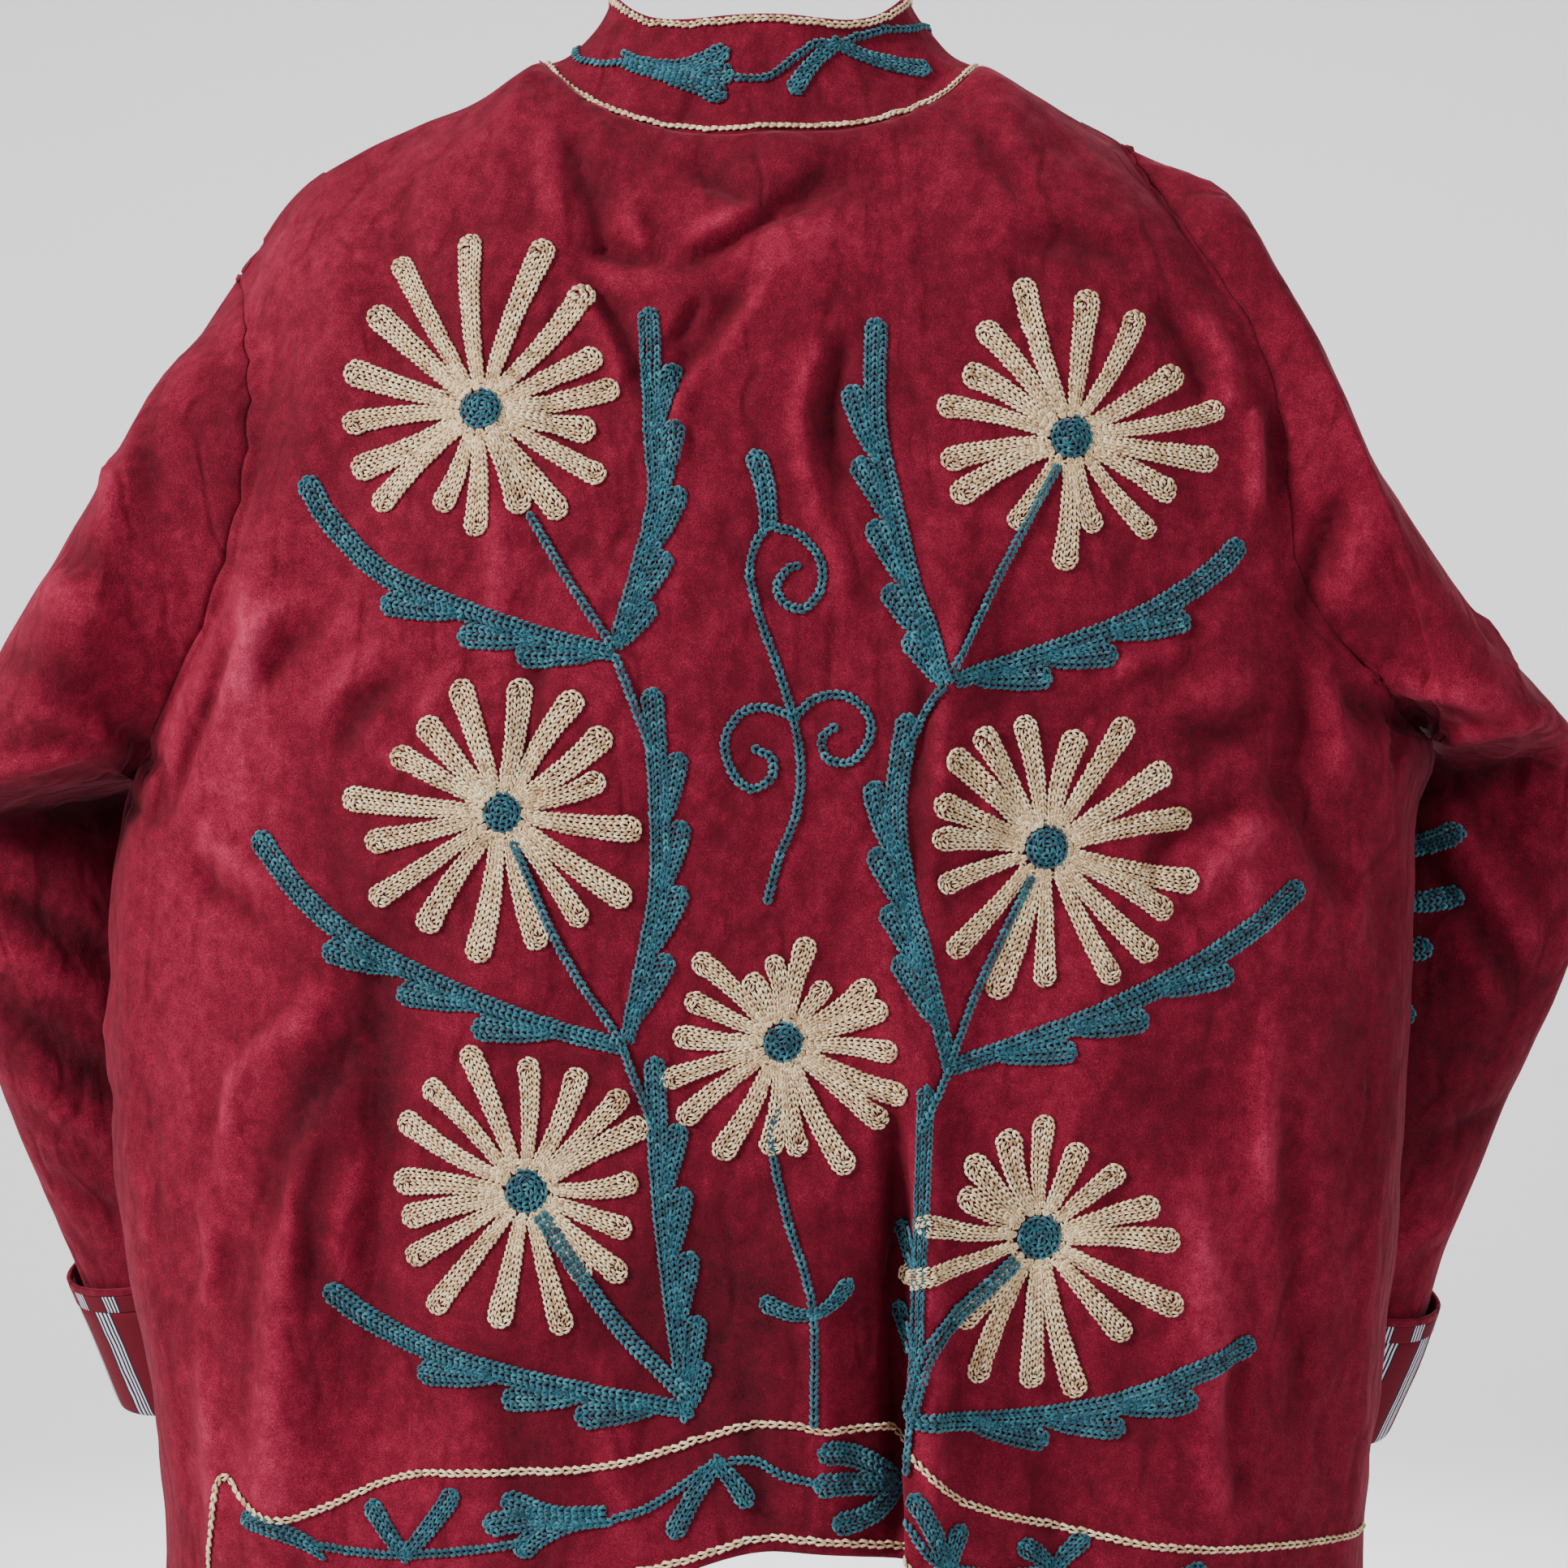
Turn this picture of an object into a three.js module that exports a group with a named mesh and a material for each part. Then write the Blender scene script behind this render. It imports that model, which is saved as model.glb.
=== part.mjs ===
// Suzani jacket: a hip-length cotton velvet jacket with a stand collar, dropped shoulders and an open
// front, slit for a short way at each side of the hem. The long sleeves end in cuffs turned back over
// their striped facing. It is filled out as it hangs on a wearer with both elbows bent.
//
// Millimetres. +X is the wearer's left, -Y the front and +Z up. The origin lies between the shoulders,
// a little below the side of the neck, where the wearer carries the jacket.
//
// Each piece is a wall of cloth on a grid of outer points. The back and the fronts share one set of
// side, armhole, shoulder and neckline points, the sleeves start on the armhole's and the collar on the
// neckline's, so that the pieces meet all along their seams.
import * as THREE from 'three';

const WALL = 2;                 // velvet and its lining
const SEAM_GAP = 0.3;           // between two pieces along a seam
const FRONT_OPENING = 6;        // between the two front edges
const SLIT = 65;                // height of the open slit at each side of the hem
const SLIT_SPREAD = { x: 1.5, y: 4 };  // each edge of a slit from the seam line, at the hem

const HALF_NECK = 100;          // neckline at the shoulder seam, from the middle
const NECK_SIDE_Z = 7;
const SHOULDER_Y = 6;           // the shoulder seam's line, from front to back
const BACK_NECK = { drop: 40.5, reach: 56, bend: 3.2 };
const FRONT_NECK = { drop: 69, reach: 84, bend: 1.3 };
const SHOULDER_ROUND = 2.2;     // exponent of the curve from the back over to the shoulder seam
const NECK_DRAW = 4;            // how much sooner the middle draws in to the neckline than its sides

const NECK_SHARE = 0.42;        // share of a half panel's columns' spread that ends on the neckline
const NECK_COLUMNS = 9;         // columns of a half panel inside the neck, then outside it
const OUTER_COLUMNS = 10;
const EDGE_CROWDING = 0.45;     // how much closer the outer columns lie towards the side seam
const LOWER_ROWS = 15;          // rows from the hem to the underarm, then up to the shoulder
const UPPER_ROWS = 12;
const ROWS = LOWER_ROWS + UPPER_ROWS;

const VELVET = { color: 0x8c1a2e, roughness: 0.9, metalness: 0 };
const FACING = { color: 0x96142a, roughness: 0.8, metalness: 0 };

/** Rows of numbers under named columns, as a list of objects. */
function table(columns, rows) {
  return rows.map((row) => Object.fromEntries(columns.map((name, i) => [name, row[i]])));
}

/** A smooth reading of one column at a place in the first named column, which rises down the table. */
function lookup(rows, key, column, place) {
  const last = rows.length - 1;
  const at = THREE.MathUtils.clamp(place, rows[0][key], rows[last][key]);
  let i = 0;
  while (i < last - 1 && at > rows[i + 1][key]) i += 1;
  const slope = (k) => {
    const before = rows[Math.max(k - 1, 0)];
    const after = rows[Math.min(k + 1, last)];
    return (after[column] - before[column]) / (after[key] - before[key]);
  };
  const span = rows[i + 1][key] - rows[i][key];
  const s = (at - rows[i][key]) / span;
  const rise = s * s * (3 - 2 * s);
  const bow = slope(i) * s * (1 - s) * (1 - s) - slope(i + 1) * s * s * (1 - s);
  return THREE.MathUtils.lerp(rows[i][column], rows[i + 1][column], rise) + bow * span;
}

// Level sections of the body below the arms: half widths on the wearer's left and right, how far back
// the side seam runs, and the depth of the back and of the front at the middle.
const BODY = table(['z', 'left', 'right', 'side', 'back', 'front'], [
  [-730, 272, 276, 6, 106, 96],
  [-660, 275, 280, 4, 106, 97],
  [-600, 283, 287, 2, 104, 98],
  [-530, 295, 296, 0, 104, 100],
  [-460, 303, 300, -2, 104, 103],
  [-395, 303, 303, -3, 105, 106],
  [-350, 299, 305, -2, 107, 108],
  [-322, 292, 306, 0, 109, 109],
  [-302, 289, 310, 0, 110, 109],
]);
const UNDERARM_Z = { left: -322, right: -302 };
const UNDERARM_X = { left: 292, right: 310 };

// The armhole seams, by share of their height from the underarm up to the shoulder tip.
const ARMHOLE = {
  left: table(['share', 'x', 'back', 'front'], [
    [0, UNDERARM_X.left, 0, 0],
    [0.08, 279, 30, -28],
    [0.2, 260, 50, -46],
    [0.35, 242, 61, -60],
    [0.53, 229, 65, -66],
    [0.7, 226, 61, -62],
    [0.87, 231, 42, -42],
    [1, 241, SHOULDER_Y, SHOULDER_Y],
  ]),
  right: table(['share', 'x', 'back', 'front'], [
    [0, UNDERARM_X.right, 0, 0],
    [0.06, 289, 30, -28],
    [0.15, 259, 52, -48],
    [0.27, 239, 63, -62],
    [0.42, 232, 68, -68],
    [0.57, 228, 67, -68],
    [0.7, 213, 63, -62],
    [0.83, 192, 50, -46],
    [1, 168, SHOULDER_Y, SHOULDER_Y],
  ]),
};

// The shoulder seams from the neck out to the armhole.
const SHOULDER = {
  left: table(['x', 'z'], [
    [100, NECK_SIDE_Z], [126, -8], [163, -22], [190, -35], [216, -53], [231, -74], [241, -89],
  ]),
  right: table(['x', 'z'], [[100, NECK_SIDE_Z], [136, -13], [168, -30]]),
};

// The hem of the back and of each front. u runs over a panel from -1 at the wearer's right side seam
// to 1 at the left one.
const BACK_HEM = table(['u', 'z'], [
  [-1, -728], [-0.9, -727], [-0.59, -710], [-0.4, -694], [-0.26, -672], [-0.22, -664], [-0.14, -659],
  [0, -655], [0.17, -668], [0.38, -677], [0.58, -690], [0.8, -713], [1, -708],
]);
const FRONT_HEM = table(['u', 'z'], [
  [-1, -728], [-0.7, -716], [-0.4, -704], [0, -712], [0.4, -702], [0.7, -712], [1, -708],
]);

// The deep fold that hangs to the hem right of the middle of the back, where the cloth on its right
// laps over the cloth on its left: how far each place across it moves at the hem.
const LAP_FOLD = table(['u', 'x', 'y'], [
  [-0.45, 0, 0], [-0.373, 1, 3], [-0.327, 3, 7], [-0.28, 6, 11], [-0.2334, 3, 9], [-0.1867, -15, -8],
  [-0.14, -9, -7], [-0.0934, -3, -2], [-0.04, 0, 0],
]);
const LAP_FOLD_REACH = { top: -400, full: -640 };

// Soft ridges and troughs of the back and the upper sleeves, each along a line from one end to the
// other, then those of the fronts.
const FOLD_COLUMNS = ['x0', 'z0', 'x1', 'z1', 'lift', 'spread'];
const BACK_FOLDS = table(FOLD_COLUMNS, [
  [180, -101, 222, -230, 6, 15],
  [222, -230, 264, -335, 6, 16],
  [131, -328, 177, -398, 5, 20],
  [191, -458, 222, -650, 8, 24],
  [159, -388, 173, -615, -7, 22],
  [117, -560, 92, -680, 6, 26],
  [173, -45, 163, -101, -4, 12],
  [213, -132, 215, -181, -4, 13],
  [73, -87, 37, -93, -4, 9],
  [39, -98, -7, -73, -5, 10],
  [28, -52, -50, -52, -4, 14],
  [0, -101, 26, -136, -4, 9],
  [-82, -230, -75, -335, 5, 14],
  [-75, -335, -66, -451, 6, 14],
  [-52, -510, -52, -650, -4, 10],
  [-236, -251, -229, -321, -7, 14],
  [-247, -272, -275, -335, 5, 15],
  [-233, -311, -275, -381, -5, 10],
  [-150, -430, -190, -690, 7, 26],
  [-120, -520, -135, -690, -5, 20],
  [-261, -198, -247, -242, -6, 11],
  [-263, -270, -332, -285, 6, 14],
  [300, -200, 330, -300, 5, 16],
  [262, -190, 290, -290, -5, 14],
]);
const FRONT_FOLDS = table(FOLD_COLUMNS, [
  [60, -200, 52, -690, 7, 22],
  [110, -300, 122, -700, -6, 22],
  [170, -180, 178, -420, 5, 20],
  [-58, -220, -66, -700, 7, 22],
  [-112, -280, -104, -690, -6, 22],
  [-168, -170, -182, -430, 5, 20],
]);
const FOLD_FADE = { from: 5, to: 45 };  // folds grow in from the side seams, by distance from y = 0

/** How far the folds in a list push the cloth out at one place. */
function foldLift(folds, x, z) {
  let lift = 0;
  for (const fold of folds) {
    const line = new THREE.Line3(
      new THREE.Vector3(fold.x0, 0, fold.z0),
      new THREE.Vector3(fold.x1, 0, fold.z1),
    );
    const place = new THREE.Vector3(x, 0, z);
    const away = line.closestPointToPoint(place, true, new THREE.Vector3()).distanceTo(place);
    lift += fold.lift * Math.exp(-((away / fold.spread) ** 2));
  }
  return lift;
}

/** Moves a point of the cloth out or in by the folds near it. */
function addFolds(point) {
  const fade = THREE.MathUtils.smoothstep(Math.abs(point.y), FOLD_FADE.from, FOLD_FADE.to);
  if (point.y > 0) point.y += fade * foldLift(BACK_FOLDS, point.x, point.z);
  else point.y -= fade * foldLift(FRONT_FOLDS, point.x, point.z);
  return point;
}

// The body's two faces. A section runs from the side seam to the full depth at the middle along a
// rounded curve of exponents p and q, and the front stays flatter at its sides, behind the forearms.
const BACK = { sign: 1, depth: 'back', neck: BACK_NECK, hem: BACK_HEM, p: 2.4, q: 2 };
const FRONT = { sign: -1, depth: 'front', neck: FRONT_NECK, hem: FRONT_HEM, p: 1.7, q: 1 };
const ARMHOLE_SETTLE = 0.25;    // share of the armhole's height over which the section loses its round side

const sideOf = (u) => (u < 0 ? 'right' : 'left');
const between = (values, u) => THREE.MathUtils.lerp(values.right, values.left, (u + 1) / 2);

/** The neckline's angle at a place across a panel: 0 at the middle, a right angle at the shoulder. */
function neckAngle(u) {
  return Math.min(Math.abs(u) / NECK_SHARE, 1) * Math.PI / 2;
}

/** Half the width of a panel at a place across its upper end, out to the given edge. */
function topHalfWidth(face, u, edge) {
  const start = face === FRONT ? FRONT_OPENING / 2 : 0;
  if (Math.abs(u) <= NECK_SHARE) return start + (HALF_NECK - start) * Math.sin(neckAngle(u));
  return THREE.MathUtils.lerp(HALF_NECK, edge, (Math.abs(u) - NECK_SHARE) / (1 - NECK_SHARE));
}

/** The height of a panel's upper end: the shoulder seam, and the neckline inside it. */
function topHeight(face, u) {
  const side = sideOf(u);
  if (Math.abs(u) > NECK_SHARE) {
    const tip = ARMHOLE[side][ARMHOLE[side].length - 1].x;
    return lookup(SHOULDER[side], 'x', 'z', topHalfWidth(face, u, tip));
  }
  const { drop, bend } = face.neck;
  if (face === BACK) return NECK_SIDE_Z - drop * (1 - Math.sin(neckAngle(u)) ** bend);
  return NECK_SIDE_Z - drop * Math.cos(neckAngle(u)) ** bend;
}

/** Where a place across a panel lies between its two edges, for the edges' half widths. */
function across(face, u, left, right) {
  if (face === FRONT) {
    const edge = u < 0 ? right : left;
    return Math.sign(u) * THREE.MathUtils.lerp(FRONT_OPENING / 2, edge, Math.abs(u));
  }
  return u * (left + right) / 2 + u * u * (left - right) / 2;
}

/** Where a place across a panel lies beside the arms, before the panel draws in to the neck. */
function chestX(face, u, edge) {
  const { left, right } = UNDERARM_X;
  if (Math.abs(u) <= NECK_SHARE) return across(face, u, left, right);
  const inner = across(face, Math.sign(u) * NECK_SHARE, left, right);
  return THREE.MathUtils.lerp(inner, Math.sign(u) * edge, (Math.abs(u) - NECK_SHARE) / (1 - NECK_SHARE));
}

/** A point below the arms: share runs from the hem, 0, to the underarm, 1. */
function lowerPoint(face, u, share) {
  const z = THREE.MathUtils.lerp(lookup(face.hem, 'u', 'z', u), between(UNDERARM_Z, u), share);
  const at = (column) => lookup(BODY, 'z', column, z);
  const round = (1 - Math.abs(u) ** face.p) ** (1 / face.q);
  const x = across(face, u, at('left'), at('right'));
  const y = THREE.MathUtils.lerp(at('side'), face.sign * at(face.depth), round);
  return new THREE.Vector3(x, y, z);
}

/** A point beside and above the arms: turn runs from the underarm, 0, to the shoulder, 1. */
function upperPoint(face, u, turn) {
  const angle = turn * Math.PI / 2;
  const rise = Math.sin(angle) ** (2 / SHOULDER_ROUND);
  const keep = turn < 1 ? Math.cos(angle) ** (2 / SHOULDER_ROUND) : 0;
  const z = THREE.MathUtils.lerp(between(UNDERARM_Z, u), topHeight(face, u), rise);
  const edge = lookup(ARMHOLE[sideOf(u)], 'share', 'x', rise);
  const top = (u < 0 ? -1 : 1) * topHalfWidth(face, u, edge);
  const x = THREE.MathUtils.lerp(chestX(face, u, edge), top, turn * turn);

  const settle = Math.max(0, 1 - rise / ARMHOLE_SETTLE);
  const power = THREE.MathUtils.lerp(1, face.q, settle);
  const round = (1 - Math.abs(u) ** face.p) ** (1 / power);
  const edges = {
    left: lookup(ARMHOLE.left, 'share', face.depth, rise),
    right: lookup(ARMHOLE.right, 'share', face.depth, rise),
  };
  const full = face.sign * lookup(BODY, 'z', face.depth, z);
  const seam = keep > 0 ? (between(edges, u) - (1 - keep) * SHOULDER_Y) / keep : 0;
  const narrow = 1 + NECK_DRAW * (1 - turn);
  const reach = face.sign * face.neck.reach * Math.max(Math.cos(neckAngle(u)), 0) ** narrow;
  const inNeck = Math.abs(u) < NECK_SHARE ? reach : 0;
  const y = (1 - keep) * (SHOULDER_Y + inNeck) + keep * THREE.MathUtils.lerp(seam, full, round);
  return new THREE.Vector3(x, y, z);
}

function bodyPoint(face, u, row) {
  const point = row <= LOWER_ROWS
    ? lowerPoint(face, u, row / LOWER_ROWS)
    : upperPoint(face, u, (row - LOWER_ROWS) / UPPER_ROWS);
  addFolds(point);
  if (face === BACK) {
    const depth = 1 - THREE.MathUtils.smoothstep(point.z, LAP_FOLD_REACH.full, LAP_FOLD_REACH.top);
    point.x += depth * lookup(LAP_FOLD, 'u', 'x', u);
    point.y += depth * lookup(LAP_FOLD, 'u', 'y', u);
  }
  return point;
}

/** Places across half a panel, from its middle to its side seam, with one exactly at the neck's side. */
function halfColumns() {
  const inner = Array.from({ length: NECK_COLUMNS }, (_, i) => NECK_SHARE * i / NECK_COLUMNS);
  const outer = Array.from({ length: OUTER_COLUMNS + 1 }, (_, i) => {
    const s = i / OUTER_COLUMNS;
    const crowded = THREE.MathUtils.lerp(s, Math.sin(s * Math.PI / 2), EDGE_CROWDING);
    return NECK_SHARE + (1 - NECK_SHARE) * crowded;
  });
  outer[OUTER_COLUMNS] = 1;
  return [...inner, ...outer];
}

/** A panel's grid, one row after another from the hem up. */
function panelGrid(face, columns) {
  return Array.from({ length: ROWS + 1 }, (_, row) => columns.map((u) => bodyPoint(face, u, row)));
}

// Stations of a sleeve after its armhole: the outer and the inner end of each section, how deep it is
// behind and in front of the line between them, and how far that depth leans down, in degrees. The
// sections fan out round the elbow, fold under it in a shelf and go on down the forearm to the wrist.
const STATION_COLUMNS = ['outX', 'outY', 'outZ', 'inX', 'inY', 'inZ', 'back', 'front', 'lean'];
const SLEEVE = {
  left: table(STATION_COLUMNS, [
    [264, 5, -123, 293, -1, -322, 71, 68, 0],
    [288, 3, -162, 294, -2, -322, 73, 70, 0],
    [312, 1, -201, 295, -3, -321, 73, 72, 0],
    [335, 0, -239, 296, -5, -321, 70, 74, 0],
    [357, -2, -273, 297, -7, -320, 65, 76, 0],
    [375, -5, -302, 298, -10, -320, 58, 78, 0],
    [386, -8, -328, 300, -14, -322, 46, 79, 0],
    [389, -18, -344, 299, -34, -325, 14, 72, 2],
    [388, -30, -372, 284, -58, -342, 26, 58, 8],
    [384, -44, -405, 266, -70, -376, 36, 50, 13],
    [376, -58, -440, 254, -80, -412, 40, 47, 16],
    [364, -73, -479, 245, -90, -452, 41, 45, 17],
    [352, -85, -516, 237, -98, -490, 40, 44, 17],
    [340, -96, -553, 229, -106, -528, 39, 43, 17],
    [328, -106, -590, 221, -113, -566, 38, 42, 17],
    [317, -115, -626, 213, -120, -603, 37, 41, 17],
  ]),
  right: table(STATION_COLUMNS, [
    [205, 6, -44, 311, -1, -302, 74, 70, 0],
    [229, 5, -78, 312, -2, -302, 76, 72, 0],
    [249, 4, -118, 312, -3, -302, 77, 74, 0],
    [272, 2, -163, 313, -5, -302, 75, 76, 0],
    [302, 0, -208, 314, -7, -302, 70, 78, 0],
    [334, -3, -252, 315, -9, -302, 63, 79, 0],
    [374, -7, -294, 317, -14, -305, 48, 80, 0],
    [384, -20, -314, 315, -36, -311, 14, 73, 2],
    [389, -34, -352, 292, -60, -336, 26, 59, 8],
    [389, -46, -394, 268, -72, -374, 36, 51, 13],
    [376, -58, -438, 251, -81, -415, 40, 48, 16],
    [359, -73, -482, 240, -91, -458, 41, 46, 17],
    [344, -86, -524, 230, -99, -500, 40, 44, 17],
    [332, -97, -564, 221, -107, -540, 39, 43, 17],
    [323, -107, -603, 213, -114, -580, 38, 42, 17],
    [309, -116, -641, 204, -121, -619, 37, 41, 17],
  ]),
};
const EVEN_RINGS = 5;           // rings over which the armhole's uneven spacing evens out

/** The armhole's points from the underarm up the back's edge to the tip and down the front's edge. */
function armholeRing(backEdge, frontEdge) {
  return [...backEdge.slice(LOWER_ROWS), ...frontEdge.slice(LOWER_ROWS + 1, ROWS).reverse()];
}

/** Each point's share of the way round from the underarm to the tip, for the rising half of a ring. */
function ringShares(points) {
  const lengths = [0];
  points.slice(1).forEach((point, i) => lengths.push(lengths[i] + point.distanceTo(points[i])));
  return lengths.map((length) => length / lengths[lengths.length - 1]);
}

function stationRing(side, station, index, shares) {
  const sign = side === 'left' ? 1 : -1;
  const outer = new THREE.Vector3(sign * station.outX, station.outY, station.outZ);
  const inner = new THREE.Vector3(sign * station.inX, station.inY, station.inZ);
  const middle = outer.clone().add(inner).multiplyScalar(0.5);
  const half = outer.clone().sub(middle);
  const lean = THREE.MathUtils.degToRad(station.lean);
  const depth = new THREE.Vector3(0, Math.cos(lean), -Math.sin(lean));
  const even = Math.min(1, (index + 1) / EVEN_RINGS);
  const pointAt = (j, reach) => {
    const share = THREE.MathUtils.lerp(shares[j], j / UPPER_ROWS, even);
    const angle = Math.PI * (1 - share);
    const point = middle.clone().addScaledVector(half, Math.cos(angle));
    return addFolds(point.addScaledVector(depth, reach * Math.sin(angle)));
  };
  const rise = shares.map((_, j) => pointAt(j, station.back));
  const fall = shares.slice(1, -1).map((_, j) => pointAt(j + 1, -station.front)).reverse();
  return [...rise, ...fall];
}

/** A sleeve's grid: its rings, one after another from the armhole to the wrist. */
function sleeveGrid(side, armhole) {
  const shares = ringShares(armhole.slice(0, UPPER_ROWS + 1));
  const stations = SLEEVE[side].map((station, i) => stationRing(side, station, i, shares));
  return [armhole, ...stations];
}

// The stand collar leans in to the neck, most at its foot.
const COLLAR_HEIGHT = { side: 34, back: 57, front: 46 };
const COLLAR_LEAN = { side: 0.32, back: 0.23, front: 0.12 };
const COLLAR_CENTRE = { y: -8, hold: 0.5 };  // the point it leans to, and how soon its sides lean in
const COLLAR_ROWS = table(['rise', 'lean'], [[0, 0], [0.12, 0.3], [0.36, 0.57], [0.68, 0.83], [1, 1]]);

function collarGrid(neckline) {
  return COLLAR_ROWS.map(({ rise, lean }) => neckline.map((foot) => {
    const aside = Math.min(Math.abs(foot.x) / HALF_NECK, 1) ** 2;
    const end = foot.y > SHOULDER_Y ? 'back' : 'front';
    const height = THREE.MathUtils.lerp(COLLAR_HEIGHT[end], COLLAR_HEIGHT.side, aside);
    const endLean = COLLAR_LEAN[end];
    const sideLean = COLLAR_LEAN.side * lean * (Math.abs(foot.x) / HALF_NECK) ** COLLAR_CENTRE.hold;
    const x = foot.x * (1 - sideLean);
    const y = COLLAR_CENTRE.y + (foot.y - COLLAR_CENTRE.y) * (1 - endLean * lean);
    return new THREE.Vector3(x, y, foot.z + height * rise);
  }));
}

// A turned-back cuff in section, on the sleeve's own surface: up is measured from the sleeve's end
// towards the elbow and out from its face. The facing turns up round the sleeve's end.
const CUFF = table(['up', 'out'], [
  [-2.8, -1.9], [-3.2, 1], [-2, 3.4], [2.5, 4.6], [20, 5], [38, 5.4], [56, 6],
]);
const CUFF_BAND = table(['up', 'out'], [[56.3, 6.3], [60.5, 6.4], [65, 6.6]]);
const CUFF_EDGE = table(['up', 'out'], [[65.3, 6.6], [68.6, 6.5]]);
const CUFF_RINGS = 4;           // rings at the sleeve's end that a cuff lies along

/** Rings that follow the end of a sleeve, moved out from it, as a cuff's section says. */
function cuffGrid(sleeve, section) {
  const rings = sleeve.slice(-CUFF_RINGS).reverse();
  return section.map(({ up, out }) => rings[0].map((_, j) => {
    const path = rings.map((ring) => ring[j]);
    const next = rings[0][(j + 1) % rings[0].length];
    const previous = rings[0][(j + rings[0].length - 1) % rings[0].length];
    let from = 0;
    let left = up;
    while (from < path.length - 2 && left > path[from].distanceTo(path[from + 1])) {
      left -= path[from].distanceTo(path[from + 1]);
      from += 1;
    }
    const along = path[from + 1].clone().sub(path[from]).normalize();
    const around = next.clone().sub(previous).normalize();
    const face = around.clone().cross(along).normalize();
    const opposite = rings[from][(j + rings[0].length / 2) % rings[0].length];
    if (face.dot(path[from].clone().sub(opposite)) < 0) face.negate();
    return path[from].clone().addScaledVector(along, left).addScaledVector(face, out);
  }));
}

// Sums of the outer faces' normals at each point. Pieces that meet at a seam share its points, so both
// get the same mitre there.
const normalSums = new Map();
const keyOf = (point) => point.toArray().map((value) => value.toFixed(3)).join(' ');

function addNormals(grid, closed, turn) {
  const columns = grid[0].length;
  for (let i = 0; i < grid.length - 1; i += 1) {
    for (let j = 0; j < (closed ? columns : columns - 1); j += 1) {
      const k = (j + 1) % columns;
      const corners = [grid[i][j], grid[i][k], grid[i + 1][k], grid[i + 1][j]];
      const rising = corners[2].clone().sub(corners[0]);
      const falling = corners[3].clone().sub(corners[1]);
      const normal = rising.cross(falling).multiplyScalar(turn);
      for (const corner of corners) {
        const key = keyOf(corner);
        if (!normalSums.has(key)) normalSums.set(key, new THREE.Vector3());
        normalSums.get(key).add(normal);
      }
    }
  }
}

// Both pieces at a seam split the faces of their rims alike, by which way the seam runs.
const RIM_LEAD = new THREE.Vector3(0.6, 0.3, 1);

/** Moves the points on one border in from the seam, with the inner points behind them. */
function insetBorder(outer, inner, border, beside) {
  border.forEach((index, n) => {
    const step = outer[beside[n]].clone().sub(outer[index]).setLength(SEAM_GAP / 2);
    outer[index].add(step);
    inner[index].add(step);
  });
}

/** Spreads a panel's side edges below the ends of the side seams, where the hem is slit. */
function openSlits({ face, places }, outer, inner) {
  places.forEach((u, j) => {
    if (Math.abs(u) < 1) return;
    const spread = new THREE.Vector3(Math.sign(u) * SLIT_SPREAD.x, SLIT_SPREAD.y, 0);
    for (let index = j; index < LOWER_ROWS * places.length; index += places.length) {
      const open = Math.max(0, 1 - (outer[index].z - outer[j].z) / SLIT) * face.sign;
      outer[index].addScaledVector(spread, open);
      inner[index].addScaledVector(spread, open);
    }
  });
}

/** The closed wall of one piece: its outer grid, its inner grid and the rims between them. */
function wallGeometry({ grid, closed = false, turn = 1, seams = {}, panel = null }) {
  const rows = grid.length;
  const columns = grid[0].length;
  const at = (i, j) => i * columns + (j % columns);
  const outer = grid.flat().map((point) => point.clone());
  const inner = grid.flat().map((point) => {
    const normal = normalSums.get(keyOf(point)).clone().normalize();
    return point.clone().addScaledVector(normal, -WALL);
  });
  const rowOf = (i) => Array.from({ length: columns }, (_, j) => at(i, j));
  const columnOf = (j) => Array.from({ length: rows }, (_, i) => at(i, j));
  if (seams.firstRow) insetBorder(outer, inner, rowOf(0), rowOf(1));
  if (seams.lastRow) insetBorder(outer, inner, rowOf(rows - 1), rowOf(rows - 2));
  if (seams.firstColumn) insetBorder(outer, inner, columnOf(0), columnOf(1));
  if (seams.lastColumn) insetBorder(outer, inner, columnOf(columns - 1), columnOf(columns - 2));
  if (panel) openSlits(panel, outer, inner);

  const points = [...outer, ...inner];
  const behind = outer.length;
  const faces = [];
  const shorter = (a, b, c, d) => points[a].distanceTo(points[c]) <= points[b].distanceTo(points[d]);
  const addQuad = (a, b, c, d, splitFromA = shorter(a, b, c, d)) => {
    const pair = splitFromA ? [[a, b, c], [a, c, d]] : [[a, b, d], [b, c, d]];
    faces.push(...(turn > 0 ? pair : pair.map(([p, q, r]) => [r, q, p])));
  };
  const spans = closed ? columns : columns - 1;
  for (let i = 0; i < rows - 1; i += 1) {
    for (let j = 0; j < spans; j += 1) {
      const [a, b, c, d] = [at(i, j), at(i, j + 1), at(i + 1, j + 1), at(i + 1, j)];
      addQuad(a, b, c, d);
      addQuad(behind + d, behind + c, behind + b, behind + a);
    }
  }
  const places = grid.flat();
  const addRim = (border) => border.slice(1).forEach((b, n) => {
    const step = places[b].clone().sub(places[border[n]]);
    addQuad(behind + border[n], behind + b, b, border[n], step.dot(RIM_LEAD) > 0);
  });
  const first = rowOf(0);
  const last = rowOf(rows - 1).reverse();
  addRim(closed ? [...first, first[0]] : first);
  addRim(closed ? [...last, last[0]] : last);
  if (!closed) {
    addRim(columnOf(columns - 1));
    addRim(columnOf(0).reverse());
  }

  const geometry = new THREE.BufferGeometry();
  const positions = points.flatMap((point) => point.toArray());
  geometry.setAttribute('position', new THREE.Float32BufferAttribute(positions, 3));
  geometry.setIndex(faces.flat());
  return geometry;
}

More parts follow.
